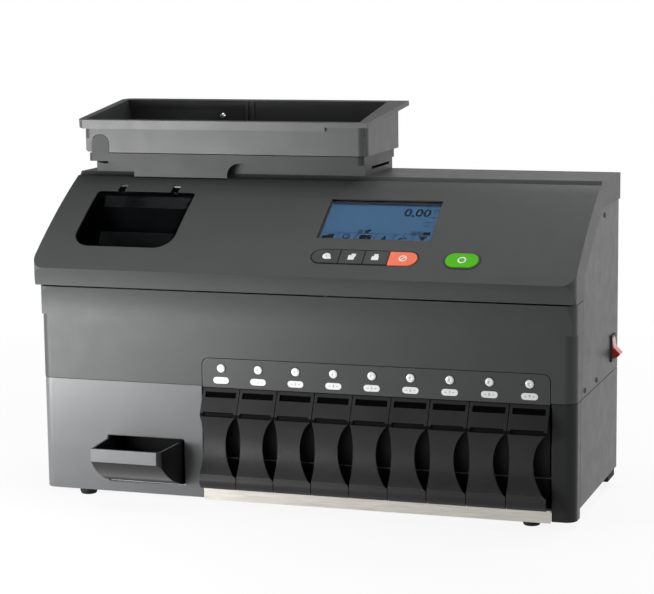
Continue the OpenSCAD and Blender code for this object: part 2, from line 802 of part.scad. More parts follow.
module key_bezel() color(black) at_slope(keys_s) {
    difference() {
        union() {
            translate([0, 0, -4.4]) linear_extrude(2.2) key_bar_outline(4);
            translate([0, 0, -2.6]) linear_extrude(1.8) key_bar_outline();
        }
        translate([0, 0, -10]) linear_extrude(20)
            for (k = [0:3]) bar_key_outline(k, key_gap);
    }
    difference() {
        union() {
            translate([0, 0, -4.4]) linear_extrude(2.2) stadium(start_x, 0, start_w + 8, start_h + 8);
            translate([0, 0, -2.6]) linear_extrude(2.9) stadium(start_x, 0, start_w + 2.4, start_h + 2.4);
        }
        translate([0, 0, -10]) linear_extrude(20)
            stadium(start_x, 0, start_w + 2 * key_gap - 1, start_h + 2 * key_gap - 1);
    }
}

// A key's cap, with a foot that reaches down to its switch
module key_cap(mid, w, top) {
    translate([0, 0, -5.4]) linear_extrude(5.4 + top) children();
    block([mid - w / 2, -4, -7], [mid + w / 2, 4, -5.4]);
}

module bar_key(k) at_slope(keys_s)
    key_cap((bar_keys[k][0] + bar_keys[k][1]) / 2, 8, key_proud) bar_key_outline(k, 0);

module key_1() color(darker) bar_key(0);
module key_2() color(darker) bar_key(1);
module key_3() color(darker) bar_key(2);
module stop_key() color([0.95, 0.36, 0.22]) bar_key(3);
module start_key() color([0.36, 0.75, 0.2]) at_slope(keys_s)
    key_cap(start_x, 8, 1) stadium(start_x, 0, start_w - 1, start_h - 1);

board_d = 14;                   // depth of the board's face under the slope
board_s = 60;                   // place on the slope where the board lies parallel to it
module control_board() color([0.1, 0.35, 0.2]) {
    at_slope(board_s) {
        block([2, -38, -board_d - sheet_t], [196, 52, -board_d]);
        // parts on the back
        for (p = [[20, 0, 22, 22], [60, 6, 16, 12], [96, -4, 30, 20], [150, 20, 26, 26]])
            translate([p[0], p[1], -board_d - sheet_t - 4]) cube([p[2], p[3], 4]);
        // standoffs up to the hood
        for (x = [5.6, 190], y = [0, 48]) translate([x, y, -board_d])
            cylinder(r = 3, h = board_d - hood_t - 2.2);
        // switches under the keys
        for (x = concat([for (k = bar_keys) (k[0] + k[1]) / 2], [start_x]))
            translate([x - 3, keys_s - board_s - 3, -board_d]) cube([6, 6, 3.6]);
    }
}

module power_supply() color(steel) difference() {
    block([-20, body_d - sheet_t - 62, 190], [84, body_d - sheet_t, 236]);
    for (i = [0:6]) block([-10 + i * 13, 152, 233], [-4 + i * 13, 190, 240]);
}

module mains_inlet() color(black) difference() {
    union() {
        block([inlet_x - 24.5, body_d, inlet_z - 12], [inlet_x + 24.5, body_d + 1.9, inlet_z + 12]);
        block([inlet_x - 13.4, body_d - 22, inlet_z - 9.6], [inlet_x + 13.4, body_d + 1, inlet_z + 9.6]);
    }
    difference() {
        block([inlet_x - 11.8, body_d - 17, inlet_z - 8], [inlet_x + 11.8, body_d + 5, inlet_z + 8]);
        for (p = [[-7, -1], [7, -1], [0, 3]])
            block([inlet_x + p[0] - 1, body_d - 18, inlet_z + p[1]],
                  [inlet_x + p[0] + 1, body_d - 3, inlet_z + p[1] + 4]);
    }
}

// ---- Mains switch on the right side ----

rocker_y = 180.5;
rocker_z = 148.6;
rocker_w = 15;
module switch_hole() {
    block([half_w - 6, rocker_y - 9.6, rocker_z - 12.4], [half_w + 3, rocker_y + 9.6, rocker_z + 12.4]);
}

module switch_bezel() color(black) difference() {
    union() {
        block([half_w, rocker_y - 11, rocker_z - 13.6], [half_w + 1.8, rocker_y + 11, rocker_z + 13.6]);
        block([half_w - 18, rocker_y - 9.4, rocker_z - 12.2], [half_w + 1, rocker_y + 9.4, rocker_z + 12.2]);
    }
    rod_y(rocker_x, rocker_z, rocker_r + 0.3, rocker_y - rocker_w / 2 - 0.3, rocker_y + rocker_w / 2 + 0.3);
    rod_y(rocker_x, rocker_z, 1.55, rocker_y - 9, rocker_y + 9);
}

module switch_rocker() color([0.85, 0.08, 0.06]) {
    intersection() {
        rod_y(rocker_x, rocker_z, rocker_r, rocker_y - rocker_w / 2, rocker_y + rocker_w / 2);
        along_y(rocker_y - 10, rocker_y + 10) translate([rocker_x, rocker_z])
            polygon([[-20, 14], [0.8, 14], [2.6, 1], [14, -10.5], [14, -14], [-20, -14]]);
    }
    rod_y(rocker_x, rocker_z, 1.5, rocker_y - 8.9, rocker_y + 8.9);
}

// ---- Reject cup ----

cup_x0 = -206.8;
cup_x1 = -125.4;
cup_top = 64.2;
cup_bottom = 19.2;
cup_rear = 26;
cup_lip = 61.9;                 // top of the cup's front
cup_belly = [20.25, 105.9];     // centre of the round underside
cup_belly_r = 89;
cup_t = 2.2;

// Plan of the cup, drawn in towards its front, with its right front corner rounded
module cup_plan(t) {
    r = 6 - t;
    tip = [cup_x1 - 5 - t, cup_y + t];
    c = tip + [-0.9013, 1] * r;
    difference() {
        polygon([[cup_x0 + t, cup_rear - t], [cup_x0 + t, 0], [cup_x0 + 0.8 + t, cup_y + t], tip,
                 [cup_x1 - t, 0], [cup_x1 - t, cup_rear - t]]);
        difference() {
            translate(c - [0, r + 1]) square([r + 4, r * 0.8964 + 1]);
            translate(c) circle(r = r);
        }
    }
}

module cup_solid(t) {
    up = t > 0 ? 5 : 0;
    intersection() {
        along_x(cup_x0 - 1, cup_x1 + 1) intersection() {
            polygon([[cup_y + t, cup_bottom + t], [cup_rear - t, cup_bottom + t],
                     [cup_rear - t, cup_top + up], [0, cup_top + up], [cup_y + t, cup_lip + up]]);
            translate(cup_belly) circle(r = cup_belly_r - t, $fn = 180);
        }
        linear_extrude(200) cup_plan(t);
    }
}

module reject_cup() color(darker) difference() {
    cup_solid(0);
    cup_solid(cup_t);
}

// ---- Coin boxes ----

module face_region(e) {
    up = unit(face_top - face_knee);
    difference() {
        polygon([[40, face_top[1] + up[1] * e], face_top + up * e, face_knee, [-12.8, 94], [-17, 29.6],
                 [-17.7, 28.6], [-17.7, 26], [-16, 23], [-13 + e / 3, box_z0 - e], [40, box_z0 - e]]);
        translate([-47.5, 67]) circle(r = 44, $fn = 120);
    }
}

module coin_box(i) color(darker) translate([box_x(i), 0, 0]) {
    tilt = atan((face_top[0] - face_knee[0]) / (face_top[1] - face_knee[1]));
    difference() {
        along_x(-box_w / 2, box_w / 2) difference() {
            face_region(0);
            translate([face_t, 0]) face_region(6);
        }
        // finger bite at the right
        rod_y(box_w / 2 + bite_r - bite_w, 64, bite_r, -30, 8);
        // slots that hold a coin label
        translate([0, face_knee[0] + (115.4 - face_knee[1]) * tan(tilt), 115.4]) rotate([-tilt, 0, 0])
            cube([32.8, 2.6, 6.5], center = true);
        along_x(-16.4, 16.4)
            polygon([[-16, 94.4], [-11.4, 94.4], [-11.2, 97.2], [-10.6, 98.4], [-15.3, 100.8]]);
    }
    difference() {
        union() {
            block([-bin_hw, bin_y0, box_z0], [bin_hw, bin_y0 + bin_d, bin_top]);
            block([-bin_hw, bin_y0 - 1.5, box_z0], [bin_hw, bin_y0, 46]);
        }
        block([-bin_hw + bin_wall, bin_y0 + bin_wall, box_z0 + bin_wall],
              [bin_hw - bin_wall, bin_y0 + bin_d - bin_wall, bin_top + 5]);
    }
    // webs that join the front to the bin
    intersection() {
        union() {
            block([-bin_hw, -20, bin_top - 3], [bin_hw, bin_y0, bin_top - 1]);
            block([-bin_hw, -20, box_z0], [bin_hw, bin_y0, box_z0 + bin_wall]);
            block([-bin_hw, -20, box_z0], [-bin_hw + bin_wall, bin_y0, bin_top - 1]);
        }
        along_x(-30, 30) translate([face_t - 0.5, 0]) face_region(0);
    }
}

on_table() {
    hood();
    front_panel();
    label_band();
    base_front_left();
    base_front_right();
    side_plate_upper_left();
    side_plate_upper_right();
    side_plate_lower_left();
    side_plate_lower_right();
    rear_panel();
    bottom_pan();
    sill_strip();
    bay_floor();
    deck_plate();
    sort_rail();
    feet();
    cover_screws();
    channel_lamps();
    channel_labels();
    hopper_collar();
    hopper_tray();
    tray_pivots();
    tray_screw();
    window_frame();
    inspection_flap();
    flap_pins();
    feed_ramp();
    reject_chute();
    feed_well();
    feed_disc();
    disc_shaft();
    feed_motor();
    belt_frame();
    transport_belt();
    drive_pulley();
    idler_pulley();
    belt_motor();
    lcd_module();
    lcd_window();
    key_bezel();
    key_1();
    key_2();
    key_3();
    stop_key();
    start_key();
    control_board();
    power_supply();
    mains_inlet();
    switch_bezel();
    switch_rocker();
    reject_cup();
    for (i = [1:box_count]) coin_box(i);
}
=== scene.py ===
"""Dressed model of a desktop coin sorting machine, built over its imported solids.

Each sub-assembly is a class. It takes the solids that the frame holds, rounds their
edges as the moulds and presses do, adds the small pieces that a solid model leaves
out, and gives every piece its finish.
"""

import json
import logging
import math
from dataclasses import dataclass
from enum import Enum
from typing import Callable, Dict, Iterable, List, Optional, Sequence, Tuple

import bpy
from mathutils import Matrix, Vector

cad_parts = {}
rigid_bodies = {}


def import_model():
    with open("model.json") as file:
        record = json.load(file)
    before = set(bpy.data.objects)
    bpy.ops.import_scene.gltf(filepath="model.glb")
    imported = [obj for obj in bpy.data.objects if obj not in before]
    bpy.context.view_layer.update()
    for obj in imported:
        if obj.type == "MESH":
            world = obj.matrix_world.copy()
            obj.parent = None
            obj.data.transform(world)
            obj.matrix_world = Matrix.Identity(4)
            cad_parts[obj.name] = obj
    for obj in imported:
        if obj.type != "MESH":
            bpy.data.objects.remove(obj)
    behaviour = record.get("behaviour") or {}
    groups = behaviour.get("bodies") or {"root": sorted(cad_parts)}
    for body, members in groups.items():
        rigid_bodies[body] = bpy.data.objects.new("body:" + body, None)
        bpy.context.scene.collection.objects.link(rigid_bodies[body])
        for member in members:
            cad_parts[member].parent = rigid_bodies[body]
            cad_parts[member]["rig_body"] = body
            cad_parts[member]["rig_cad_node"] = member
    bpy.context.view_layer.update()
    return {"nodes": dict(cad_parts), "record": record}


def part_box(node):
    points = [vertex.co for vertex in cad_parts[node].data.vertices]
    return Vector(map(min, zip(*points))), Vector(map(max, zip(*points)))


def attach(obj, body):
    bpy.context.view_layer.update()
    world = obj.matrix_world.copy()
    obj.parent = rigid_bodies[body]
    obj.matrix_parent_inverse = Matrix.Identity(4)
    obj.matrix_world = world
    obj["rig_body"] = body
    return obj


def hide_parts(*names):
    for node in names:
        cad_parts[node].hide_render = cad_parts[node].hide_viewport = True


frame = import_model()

LOG = logging.getLogger("coin_sorter")
MM = 0.001
BODY_OF = {n: b for b, ns in frame["record"]["behaviour"]["bodies"].items() for n in ns}
Socket = bpy.types.NodeSocket
# Clean-up of a solid's copy: vertices merged within this, faces joined that turn less than this
MERGE_MM = 0.002
FLAT = math.radians(0.4)
# Edges that turn more than this stay sharp in the shading
SMOOTH = math.radians(38)
# The part of a noise's range that its patches really use
NOISE_LOW, NOISE_HIGH = 0.3, 0.7


# ---- Places ----


@dataclass(frozen=True)
class Datum:
    """Turns the machine's own measures, in millimetres, into places in the row frame.

    x runs across the front from the middle of the housing, y back from the front of
    the base, and z up from the table.
    """

    mid_x: float = 4.17
    mid_y: float = 89.091
    lip: Tuple[float, float] = (-18.6, 240.3)
    bend: Tuple[float, float] = (104.2, 322.8)
    bow: float = 3.9
    channels: int = 9
    first_channel: float = -81.35
    pitch: float = 39.66

    def channel(self, index: int) -> float:
        """Returns the middle of a coin channel across the front, counted from 0 at the left."""
        return self.first_channel + self.pitch * index

    def place(self, x: float, y: float, z: float) -> Vector:
        """Returns the point (x, y, z) in the row frame, in metres."""
        return Vector(((x - self.mid_x) * MM, (y - self.mid_y) * MM, z * MM))

    def upright(self, x: float, y: float, z: float) -> Matrix:
        """Returns a frame on a front panel: X across, Y up, Z out to the front."""
        return Matrix.Translation(self.place(x, y, z)) @ Matrix.Rotation(math.pi / 2, 4, "X")

    def slope(self, x: float, s: float, depth: float) -> Matrix:
        """Returns a frame on the bowed control slope.

        Args:
            x: place across the slope.
            s: distance up from the lip, along the chord.
            depth: how far under the face the frame's origin lies.

        Returns:
            A matrix whose X runs across, Y up the slope and Z out of it.
        """
        run, rise = self.bend[0] - self.lip[0], self.bend[1] - self.lip[1]
        chord = math.hypot(run, rise)
        tilt = math.atan2(rise, run)
        radius = (chord * chord / 4 + self.bow * self.bow) / (2 * self.bow)
        lean = tilt + math.asin((chord / 2 - s) / radius)
        mid = Vector(((self.lip[0] + self.bend[0]) / 2, (self.lip[1] + self.bend[1]) / 2))
        centre = mid + Vector((-math.sin(tilt), math.cos(tilt))) * (self.bow - radius)
        point = centre + Vector((-math.sin(lean), math.cos(lean))) * (radius - depth)
        spot = self.place(x, point.x, point.y)
        return Matrix.Translation(spot) @ Matrix.Rotation(lean, 4, "X")


DATUM = Datum()


# ---- Finishes ----


def linear(hex_colour: str, gain: float = 1.0) -> Tuple[float, float, float, float]:
    """Turns an sRGB hex colour into linear RGBA.

    Args:
        hex_colour: such as "#4a4b4d".
        gain: what the linear values are multiplied by.

    Returns:
        Linear red, green, blue and an alpha of 1.
    """
    parts = [int(hex_colour[i : i + 2], 16) / 255 for i in (1, 3, 5)]
    flat = [c / 12.92 if c <= 0.04045 else ((c + 0.055) / 1.055) ** 2.4 for c in parts]
    return (*[min(c * gain, 1.0) for c in flat], 1.0)


def add_node(
    tree: bpy.types.NodeTree,
    kind: str,
    settings: Optional[Dict[object, object]] = None,
    links: Optional[Dict[object, Socket]] = None,
) -> bpy.types.Node:
    """Adds a shader node with its settings and links.

    Args:
        tree: the material's node tree.
        kind: the node's type.
        settings: values of its own settings, or of its input sockets by name or place.
        links: what feeds each input socket.

    Returns:
        The new node.
    """
    made = tree.nodes.new(kind)
    for key, value in (settings or {}).items():
        if isinstance(key, str) and hasattr(made, key):
            setattr(made, key, value)
        else:
            made.inputs[key].default_value = value
    for key, source in (links or {}).items():
        tree.links.new(source, made.inputs[key])
    return made


def new_tree(name: str) -> Tuple[bpy.types.Material, bpy.types.NodeTree]:
    """Returns a new material of that name and its emptied node tree."""
    material = bpy.data.materials.new(name)
    material.use_nodes = True
    material.node_tree.nodes.clear()
    return material, material.node_tree


def noise(
    tree: bpy.types.NodeTree,
    size_mm: float,
    detail: float = 2.0,
    stretch: Tuple[float, float, float] = (1.0, 1.0, 1.0),
) -> Socket:
    """Returns the output of a noise whose patches are about size_mm across.

    Args:
        tree: the material's node tree.
        size_mm: the size of a patch.
        detail: how many finer layers are laid over it.
        stretch: how much finer the pattern is along each axis.

    Returns:
        The noise's factor output.
    """
    where = add_node(tree, "ShaderNodeTexCoord").outputs["Object"]
    if stretch != (1.0, 1.0, 1.0):
        mapping = add_node(tree, "ShaderNodeMapping", {"Scale": stretch}, {"Vector": where})
        where = mapping.outputs["Vector"]
    settings = {"Scale": 1 / (size_mm * MM), "Detail": detail, "Roughness": 0.55}
    return add_node(tree, "ShaderNodeTexNoise", settings, {"Vector": where}).outputs["Fac"]


def spread(tree: bpy.types.NodeTree, source: Socket, low: float, high: float) -> Socket:
    """Maps the useful middle of a noise to the range low to high and returns the socket."""
    settings = {"From Min": NOISE_LOW, "From Max": NOISE_HIGH, "To Min": low, "To Max": high}
    return add_node(tree, "ShaderNodeMapRange", settings, {"Value": source}).outputs["Result"]


def tint(tree: bpy.types.NodeTree, source: Socket, dark: Sequence[float], light: Sequence[float]) -> Socket:
    """Blends from a dark to a light colour by a noise and returns the colour socket."""
    ramp = add_node(tree, "ShaderNodeValToRGB", None, {"Fac": source})
    ramp.color_ramp.elements[0].position = NOISE_LOW
    ramp.color_ramp.elements[0].color = dark
    ramp.color_ramp.elements[1].position = NOISE_HIGH
    ramp.color_ramp.elements[1].color = light
    return ramp.outputs["Color"]


@dataclass(frozen=True)
class Moulding:
    """A moulded plastic, or a textured paint that looks like one.

    Spark-eroded moulds leave an even grain that breaks up highlights, and large parts
    show faint flow patches in shade and gloss.
    """

    name: str
    colour: str
    roughness: float
    grain_mm: float = 0.9
    grain_depth_mm: float = 0.03
    patch: float = 0.06
    ior: float = 1.5
    coat: float = 0.0
    coat_roughness: float = 0.1

    def build(self) -> bpy.types.Material:
        """Returns the material."""
        material, tree = new_tree(self.name)
        patches = noise(tree, 45.0, 3.0)
        shade = tint(tree, patches, linear(self.colour, 1 - self.patch), linear(self.colour, 1 + self.patch))
        gloss = spread(tree, noise(tree, 18.0, 3.0), self.roughness - 0.03, self.roughness + 0.03)
        grain = noise(tree, self.grain_mm, 1.0)
        bump = add_node(
            tree,
            "ShaderNodeBump",
            {"Strength": 1.0, "Distance": self.grain_depth_mm * MM},
            {"Height": grain},
        )
        shader = add_node(
            tree,
            "ShaderNodeBsdfPrincipled",
            {"IOR": self.ior, "Coat Weight": self.coat, "Coat Roughness": self.coat_roughness},
            {"Base Color": shade, "Roughness": gloss, "Normal": bump.outputs["Normal"]},
        )
        add_node(tree, "ShaderNodeOutputMaterial", None, {"Surface": shader.outputs[0]})
        return material


@dataclass(frozen=True)
class BrushedMetal:
    """Sheet or turned metal with fine scratches along one axis."""

    name: str
    colour: str
    roughness: float
    stretch: Tuple[float, float, float] = (0.02, 1.0, 1.0)
    scratch_mm: float = 0.5
    scratch_depth_mm: float = 0.006

    def build(self) -> bpy.types.Material:
        """Returns the material."""
        material, tree = new_tree(self.name)
        lines = noise(tree, self.scratch_mm, 3.0, self.stretch)
        shade = tint(tree, lines, linear(self.colour, 0.86), linear(self.colour, 1.1))
        gloss = spread(tree, lines, self.roughness - 0.06, self.roughness + 0.08)
        bump = add_node(
            tree,
            "ShaderNodeBump",
            {"Strength": 1.0, "Distance": self.scratch_depth_mm * MM},
            {"Height": lines},
        )
        shader = add_node(
            tree,
            "ShaderNodeBsdfPrincipled",
            {"Metallic": 1.0},
            {"Base Color": shade, "Roughness": gloss, "Normal": bump.outputs["Normal"]},
        )
        add_node(tree, "ShaderNodeOutputMaterial", None, {"Surface": shader.outputs[0]})
        return material


@dataclass(frozen=True)
class ClearSheet:
    """A see-through sheet or lens, smooth but for a faint haze in patches."""

    name: str
    colour: str
    roughness: float = 0.04
    transmission: float = 1.0
    ior: float = 1.49

    def build(self) -> bpy.types.Material:
        """Returns the material."""
        material, tree = new_tree(self.name)
        haze = noise(tree, 12.0, 2.0)
        gloss = spread(tree, haze, self.roughness * 0.7, self.roughness * 1.4)
        shade = tint(tree, haze, linear(self.colour, 0.95), linear(self.colour, 1.05))
        shader = add_node(
            tree,
            "ShaderNodeBsdfPrincipled",
            {"IOR": self.ior, "Transmission Weight": self.transmission},
            {"Base Color": shade, "Roughness": gloss},
        )
        add_node(tree, "ShaderNodeOutputMaterial", None, {"Surface": shader.outputs[0]})
        return material


@dataclass(frozen=True)
class Glow:
    """A lit surface, such as a screen's backlight, a little uneven from patch to patch."""

    name: str
    colour: str
    strength: float
    body: str = "#101418"
    roughness: float = 0.5
    ior: float = 1.08

    def build(self) -> bpy.types.Material:
        """Returns the material."""
        material, tree = new_tree(self.name)
        glow = tint(tree, noise(tree, 30.0), linear(self.colour, 0.95), linear(self.colour, 1.05))
        shader = add_node(
            tree,
            "ShaderNodeBsdfPrincipled",
            {
                "Base Color": linear(self.body),
                "Roughness": self.roughness,
                "IOR": self.ior,
                "Emission Strength": self.strength,
            },
            {"Emission Color": glow},
        )
        add_node(tree, "ShaderNodeOutputMaterial", None, {"Surface": shader.outputs[0]})
        return material


class Stock(Enum):
    """The finishes of the machine, each named for its real material, or for the light or shade that it
    paints.
    """

    # Powder-coated pressed steel: an even, fine orange peel and a soft, wide highlight.
    HOOD = Moulding("powder_coated_steel_hood", "#444545", 0.46, 1.1, 0.02, 0.04, 1.32)
    # Moulded ABS with a fine spark grain, a little duller than the hood.
    PANEL = Moulding("grained_abs_panel", "#3c3d3d", 0.42, 0.8, 0.03, 0.04, 1.33)
    # Smoother ABS of the base: it mirrors the near light as a broad, soft patch.
    BASE = Moulding("satin_abs_base", "#58595a", 0.31, 1.0, 0.012, 0.04, 1.4)
    # Painted shade: the base's ABS made near black for the corner pillar beside the bay, where little of the
    # near light falls.
    PILLAR = Moulding("pillar_painted_shade", "#1a1b1c", 0.36, 1.0, 0.015, 0.04, 1.3)
    # Powder-coated sheet covers at the sides and the rear: an even sheen across each face.
    SIDES = Moulding("powder_coated_steel_sides", "#454443", 0.32, 1.1, 0.012, 0.05, 1.2)
    # Moulded ABS of the hopper, grained like the panel: soft, even tones on each wall.
    HOPPER = Moulding("grained_abs_hopper", "#393a3a", 0.42, 0.9, 0.035, 0.05)
    # Grained ABS of the tray's collar, a shade darker than the tray.
    COLLAR = Moulding("grained_abs_collar", "#3b3c3c", 0.42, 0.9, 0.035, 0.05, 1.28)
    # Coarse-grained ABS of the box fronts: each grain catches the light on its own.
    BOX = Moulding("coarse_grained_abs_box", "#2c2c2c", 0.42, 1.1, 0.16, 0.12, 1.25)
    # Painted glint: pale grey on the polished ledge behind the bites, one thin, bright line in the dark.
    LEDGE = Moulding("ledge_painted_glint", "#d2d3d4", 0.2, 1.0, 0.004, 0.03)
    # Partly painted shade: polished near-black in the slots of the box fronts, darker than the box where the
    # recess lies in shade; smooth, like an inset strip.
    SLOT = Moulding("slot_insert_and_painted_shade", "#070707", 0.14, 2.0, 0.004, 0.03, 1.3)
    # Painted shade: matt near-black in the fold of the box fronts, where no light reaches the real one.
    FOLD = Moulding("fold_painted_shade", "#050505", 0.7, 1.0, 0.02, 0.05, 1.15)
    # Painted highlight: a light, shiny grey on the rounded edge of the finger bites, a light line round each
    # dark gap.
    EDGE = Moulding("bite_edge_painted_highlight", "#6a6a6b", 0.33, 1.3, 0.01, 0.06)
    # Glossy black ABS of the reject cup: dark, with clear bright bends.
    CUP = Moulding("glossy_abs_cup", "#1b1b1c", 0.24, 1.2, 0.01, 0.05, 1.32)
    # Satin band across the cup's front: its light grey is partly its own tone and partly a painted reflection
    # of the near light.
    BAND = Moulding("cup_band_and_painted_sheen", "#626365", 0.31, 0.9, 0.006, 0.04)
    # Dark ABS of the bay, the seats and the feed well: a dull black that draws no eye.
    DARK = Moulding("dark_abs", "#1a1a1b", 0.5, 0.9, 0.03)
    # Rubber key caps: near black and matt, so that the white prints stand out.
    KEY = Moulding("black_key_rubber", "#222426", 0.5, 0.5, 0.01)
    # Orange and green caps: clear colours with a faint satin sheen.
    STOP = Moulding("orange_key_cap", "#ff7c58", 0.35, 0.6, 0.006, 0.03, 1.3)
    START = Moulding("green_key_cap", "#54c206", 0.35, 0.6, 0.006, 0.03, 1.18)
    # White prints on keys and labels: flat and bright, with no grain that shows.
    LEGEND = Moulding("white_key_print", "#f2f3f2", 0.5, 0.4, 0.004, 0.02)
    LABEL = Moulding("white_label_print", "#e6e7e5", 0.5, 0.6, 0.005, 0.02)
    # Grey ink on the labels: soft figures that don't shout.
    INK = Moulding("grey_label_ink", "#70706e", 0.6, 0.4, 0.004, 0.02)
    # Milky lens under a thin clear coat: a white button with a small, sharp glint.
    LAMP = Moulding("milky_lamp_lens", "#e9ecea", 0.2, 0.8, 0.004, 0.02, 1.49, 0.5)
    # Black rubber of the feet, and the same near-black as a painted shadow in the seam: the darkest matt
    # tone.
    RUBBER = Moulding("foot_rubber_and_seam_shade", "#0b0b0c", 0.7, 0.7, 0.04, 0.06, 1.3)
    # Blackened steel of the cover screws: a small, soft shine on each head.
    SCREW = Moulding("blackened_steel_screw", "#2a2a2b", 0.35, 0.6, 0.01)
    # Woven-backed belt rubber: dull, with a fine tooth.
    BELT = Moulding("belt_rubber", "#1c1d1e", 0.75, 0.6, 0.05)
    # Hard acetal of the feed disc: a pale grey, smooth face.
    DISC = Moulding("hard_grey_acetal", "#8a8c8e", 0.35, 0.8, 0.01)
    # Lacquered motor cans: black with a soft sheen along the round side.
    MOTOR = Moulding("black_motor_lacquer", "#1d1e20", 0.32, 0.8, 0.02)
    # Solder mask of the board: green, in patches where copper lies under it.
    BOARD = Moulding("solder_mask_green", "#1c5a34", 0.35, 2.0, 0.02, 0.12)
    # Red lens of the rocker under a clear coat: a strong colour with a hard glint.
    SWITCH = Moulding("red_switch_lens", "#d81a12", 0.2, 0.8, 0.004, 0.03, 1.49, 0.6)
    # Brushed stainless strip under the boxes: a pale, streaked line.
    STRIP = BrushedMetal("brushed_stainless_strip", "#b4b0aa", 0.36)
    # Zinc-plated sheet of the works inside: bright and cloudy beside the black mouldings.
    ZINC = BrushedMetal("zinc_plated_sheet", "#b9bbbb", 0.4, (0.3, 1.0, 1.0), 3.0)
    # Ground steel pins and shafts: a narrow, bright line along each.
    PIN = BrushedMetal("ground_steel_pin", "#c4c5c6", 0.19, (1.0, 0.05, 1.0), 0.4)
    # Smoked acrylic flap: what lies behind it shows, but dark.
    SMOKED = ClearSheet("smoked_acrylic_flap", "#3a3c3e", 0.03, 1.0, 1.2)
    # Coated cover of the screen: almost nothing is mirrored, so the picture stays clear.
    SCREEN_GLASS = ClearSheet("coated_screen_cover", "#eef3f6", 0.02, 1.0, 1.08)
    # The lit screen: a blue field, a navy bar and dark marks.
    SCREEN = Glow("blue_lit_screen", "#40668a", 0.85)
    SCREEN_BAR = Glow("navy_screen_bar", "#1f2c45", 0.7)
    SCREEN_INK = Glow("dark_screen_ink", "#1b2735", 0.3)


_BUILT: Dict[Stock, bpy.types.Material] = {}


def finish_of(stock: Stock) -> bpy.types.Material:
    """Returns the material of a finish, built on its first use."""
    if stock not in _BUILT:
        _BUILT[stock] = stock.value.build()
    return _BUILT[stock]


# ---- Modelling moves ----


def pick(objects: Iterable[bpy.types.Object]) -> None:
    """Selects just these objects, with the last one active."""
    if bpy.context.object is not None and bpy.context.object.mode != "OBJECT":
        bpy.ops.object.mode_set(mode="OBJECT")
    bpy.ops.object.select_all(action="DESELECT")
    for thing in objects:
        thing.select_set(True)
        bpy.context.view_layer.objects.active = thing


def dress(
    thing: bpy.types.Object,
    name: str,
    stock: Stock,
    body: str = "housing",
    replaced: Sequence[str] = (),
) -> bpy.types.Object:
    """Names a finished piece, gives it its finish and joins it to its body.

    Args:
        thing: the piece.
        name: its name.
        stock: its finish.
        body: the body that it moves with.
        replaced: the solids that it stands for.

    Returns:
        The piece.
    """
    thing.name = name
    thing.data.name = name
    thing.data.materials.clear()
    thing.data.materials.append(finish_of(stock))
    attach(thing, body)
    if replaced:
        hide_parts(*replaced)
    return thing


def copy_solid(node: str) -> bpy.types.Object:
    """Returns a clean copy of a solid: its vertices merged and its flat faces whole."""
    source = frame["nodes"][node]
    pick([source])
    bpy.ops.object.duplicate(linked=False)
    copy = bpy.context.object
    copy.parent = None
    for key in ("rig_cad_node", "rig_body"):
        if key in copy:
            del copy[key]
    pick([copy])
    bpy.ops.mesh.customdata_custom_splitnormals_clear()
    bpy.ops.object.mode_set(mode="EDIT")
    bpy.ops.mesh.select_all(action="SELECT")
    bpy.ops.mesh.remove_doubles(threshold=MERGE_MM * MM)
    bpy.ops.mesh.dissolve_limited(angle_limit=FLAT)
    bpy.ops.object.mode_set(mode="OBJECT")
    return copy


def apply_all(thing: bpy.types.Object) -> None:
    """Applies the modifiers of a piece in their order."""
    pick([thing])
    for modifier in list(thing.modifiers):
        bpy.ops.object.modifier_apply(modifier=modifier.name)


def soften(thing: bpy.types.Object, radius_mm: float, segments: int = 2, sharp_deg: float = 32.0) -> None:
    """Rounds the sharp edges of a piece and smooths its shading.

    Args:
        thing: the piece.
        radius_mm: how far the rounding reaches from an edge.
        segments: faces across the rounding.
        sharp_deg: edges that turn more than this are rounded.
    """
    if radius_mm > 0:
        bevel = thing.modifiers.new("edge", "BEVEL")
        bevel.width = radius_mm * MM
        bevel.segments = segments
        bevel.limit_method = "ANGLE"
        bevel.angle_limit = math.radians(sharp_deg)
        bevel.use_clamp_overlap = True
        bevel.miter_outer = "MITER_ARC"
    apply_all(thing)
    pick([thing])
    bpy.ops.object.shade_smooth_by_angle(angle=SMOOTH)
    weighted = thing.modifiers.new("normals", "WEIGHTED_NORMAL")
    weighted.keep_sharp = True
    weighted.weight = 60
    apply_all(thing)


def refine(node: str, stock: Stock, radius_mm: float, segments: int = 2) -> bpy.types.Object:
    """Replaces a solid by a copy with rounded edges and its finish.

    Args:
        node: the solid.
        stock: its finish.
        radius_mm: how far its edges are rounded.
        segments: faces across the rounding.

    Returns:
        The piece.
    """
    copy = copy_solid(node)
    soften(copy, radius_mm, segments)
    LOG.info("%s: %d faces", node, len(copy.data.polygons))
    return dress(copy, node + "_shell", stock, BODY_OF[node], (node,))


def stain(thing: bpy.types.Object, stock: Stock, chosen: Callable[[Vector], bool]) -> None:
    """Gives some faces of a piece a second finish.

    Args:
        thing: the piece, in its finish.
        stock: the second finish.
        chosen: says from a face's middle whether the face takes it.
    """
    thing.data.materials.append(finish_of(stock))
    last = len(thing.data.materials) - 1
    for polygon in thing.data.polygons:
        if chosen(polygon.center):
            polygon.material_index = last


def between(value: float, limits: Tuple[float, float]) -> bool:
    """Says whether a value lies inside its two limits."""
    return limits[0] < value < limits[1]


def settle(thing: bpy.types.Object, place: Matrix) -> bpy.types.Object:
    """Moves a new piece from its drawing place to its real one and applies that.

    Args:
        thing: the piece, drawn about the origin.
        place: the frame that it goes to.

    Returns:
        The piece.
    """
    pick([thing])
    thing.matrix_world = place @ thing.matrix_world
    bpy.ops.object.transform_apply(location=True, rotation=True, scale=True)
    return thing


def join(things: List[bpy.types.Object]) -> bpy.types.Object:
    """Joins pieces into the first one and returns it."""
    pick(things[::-1])
    bpy.ops.object.join()
    return bpy.context.object


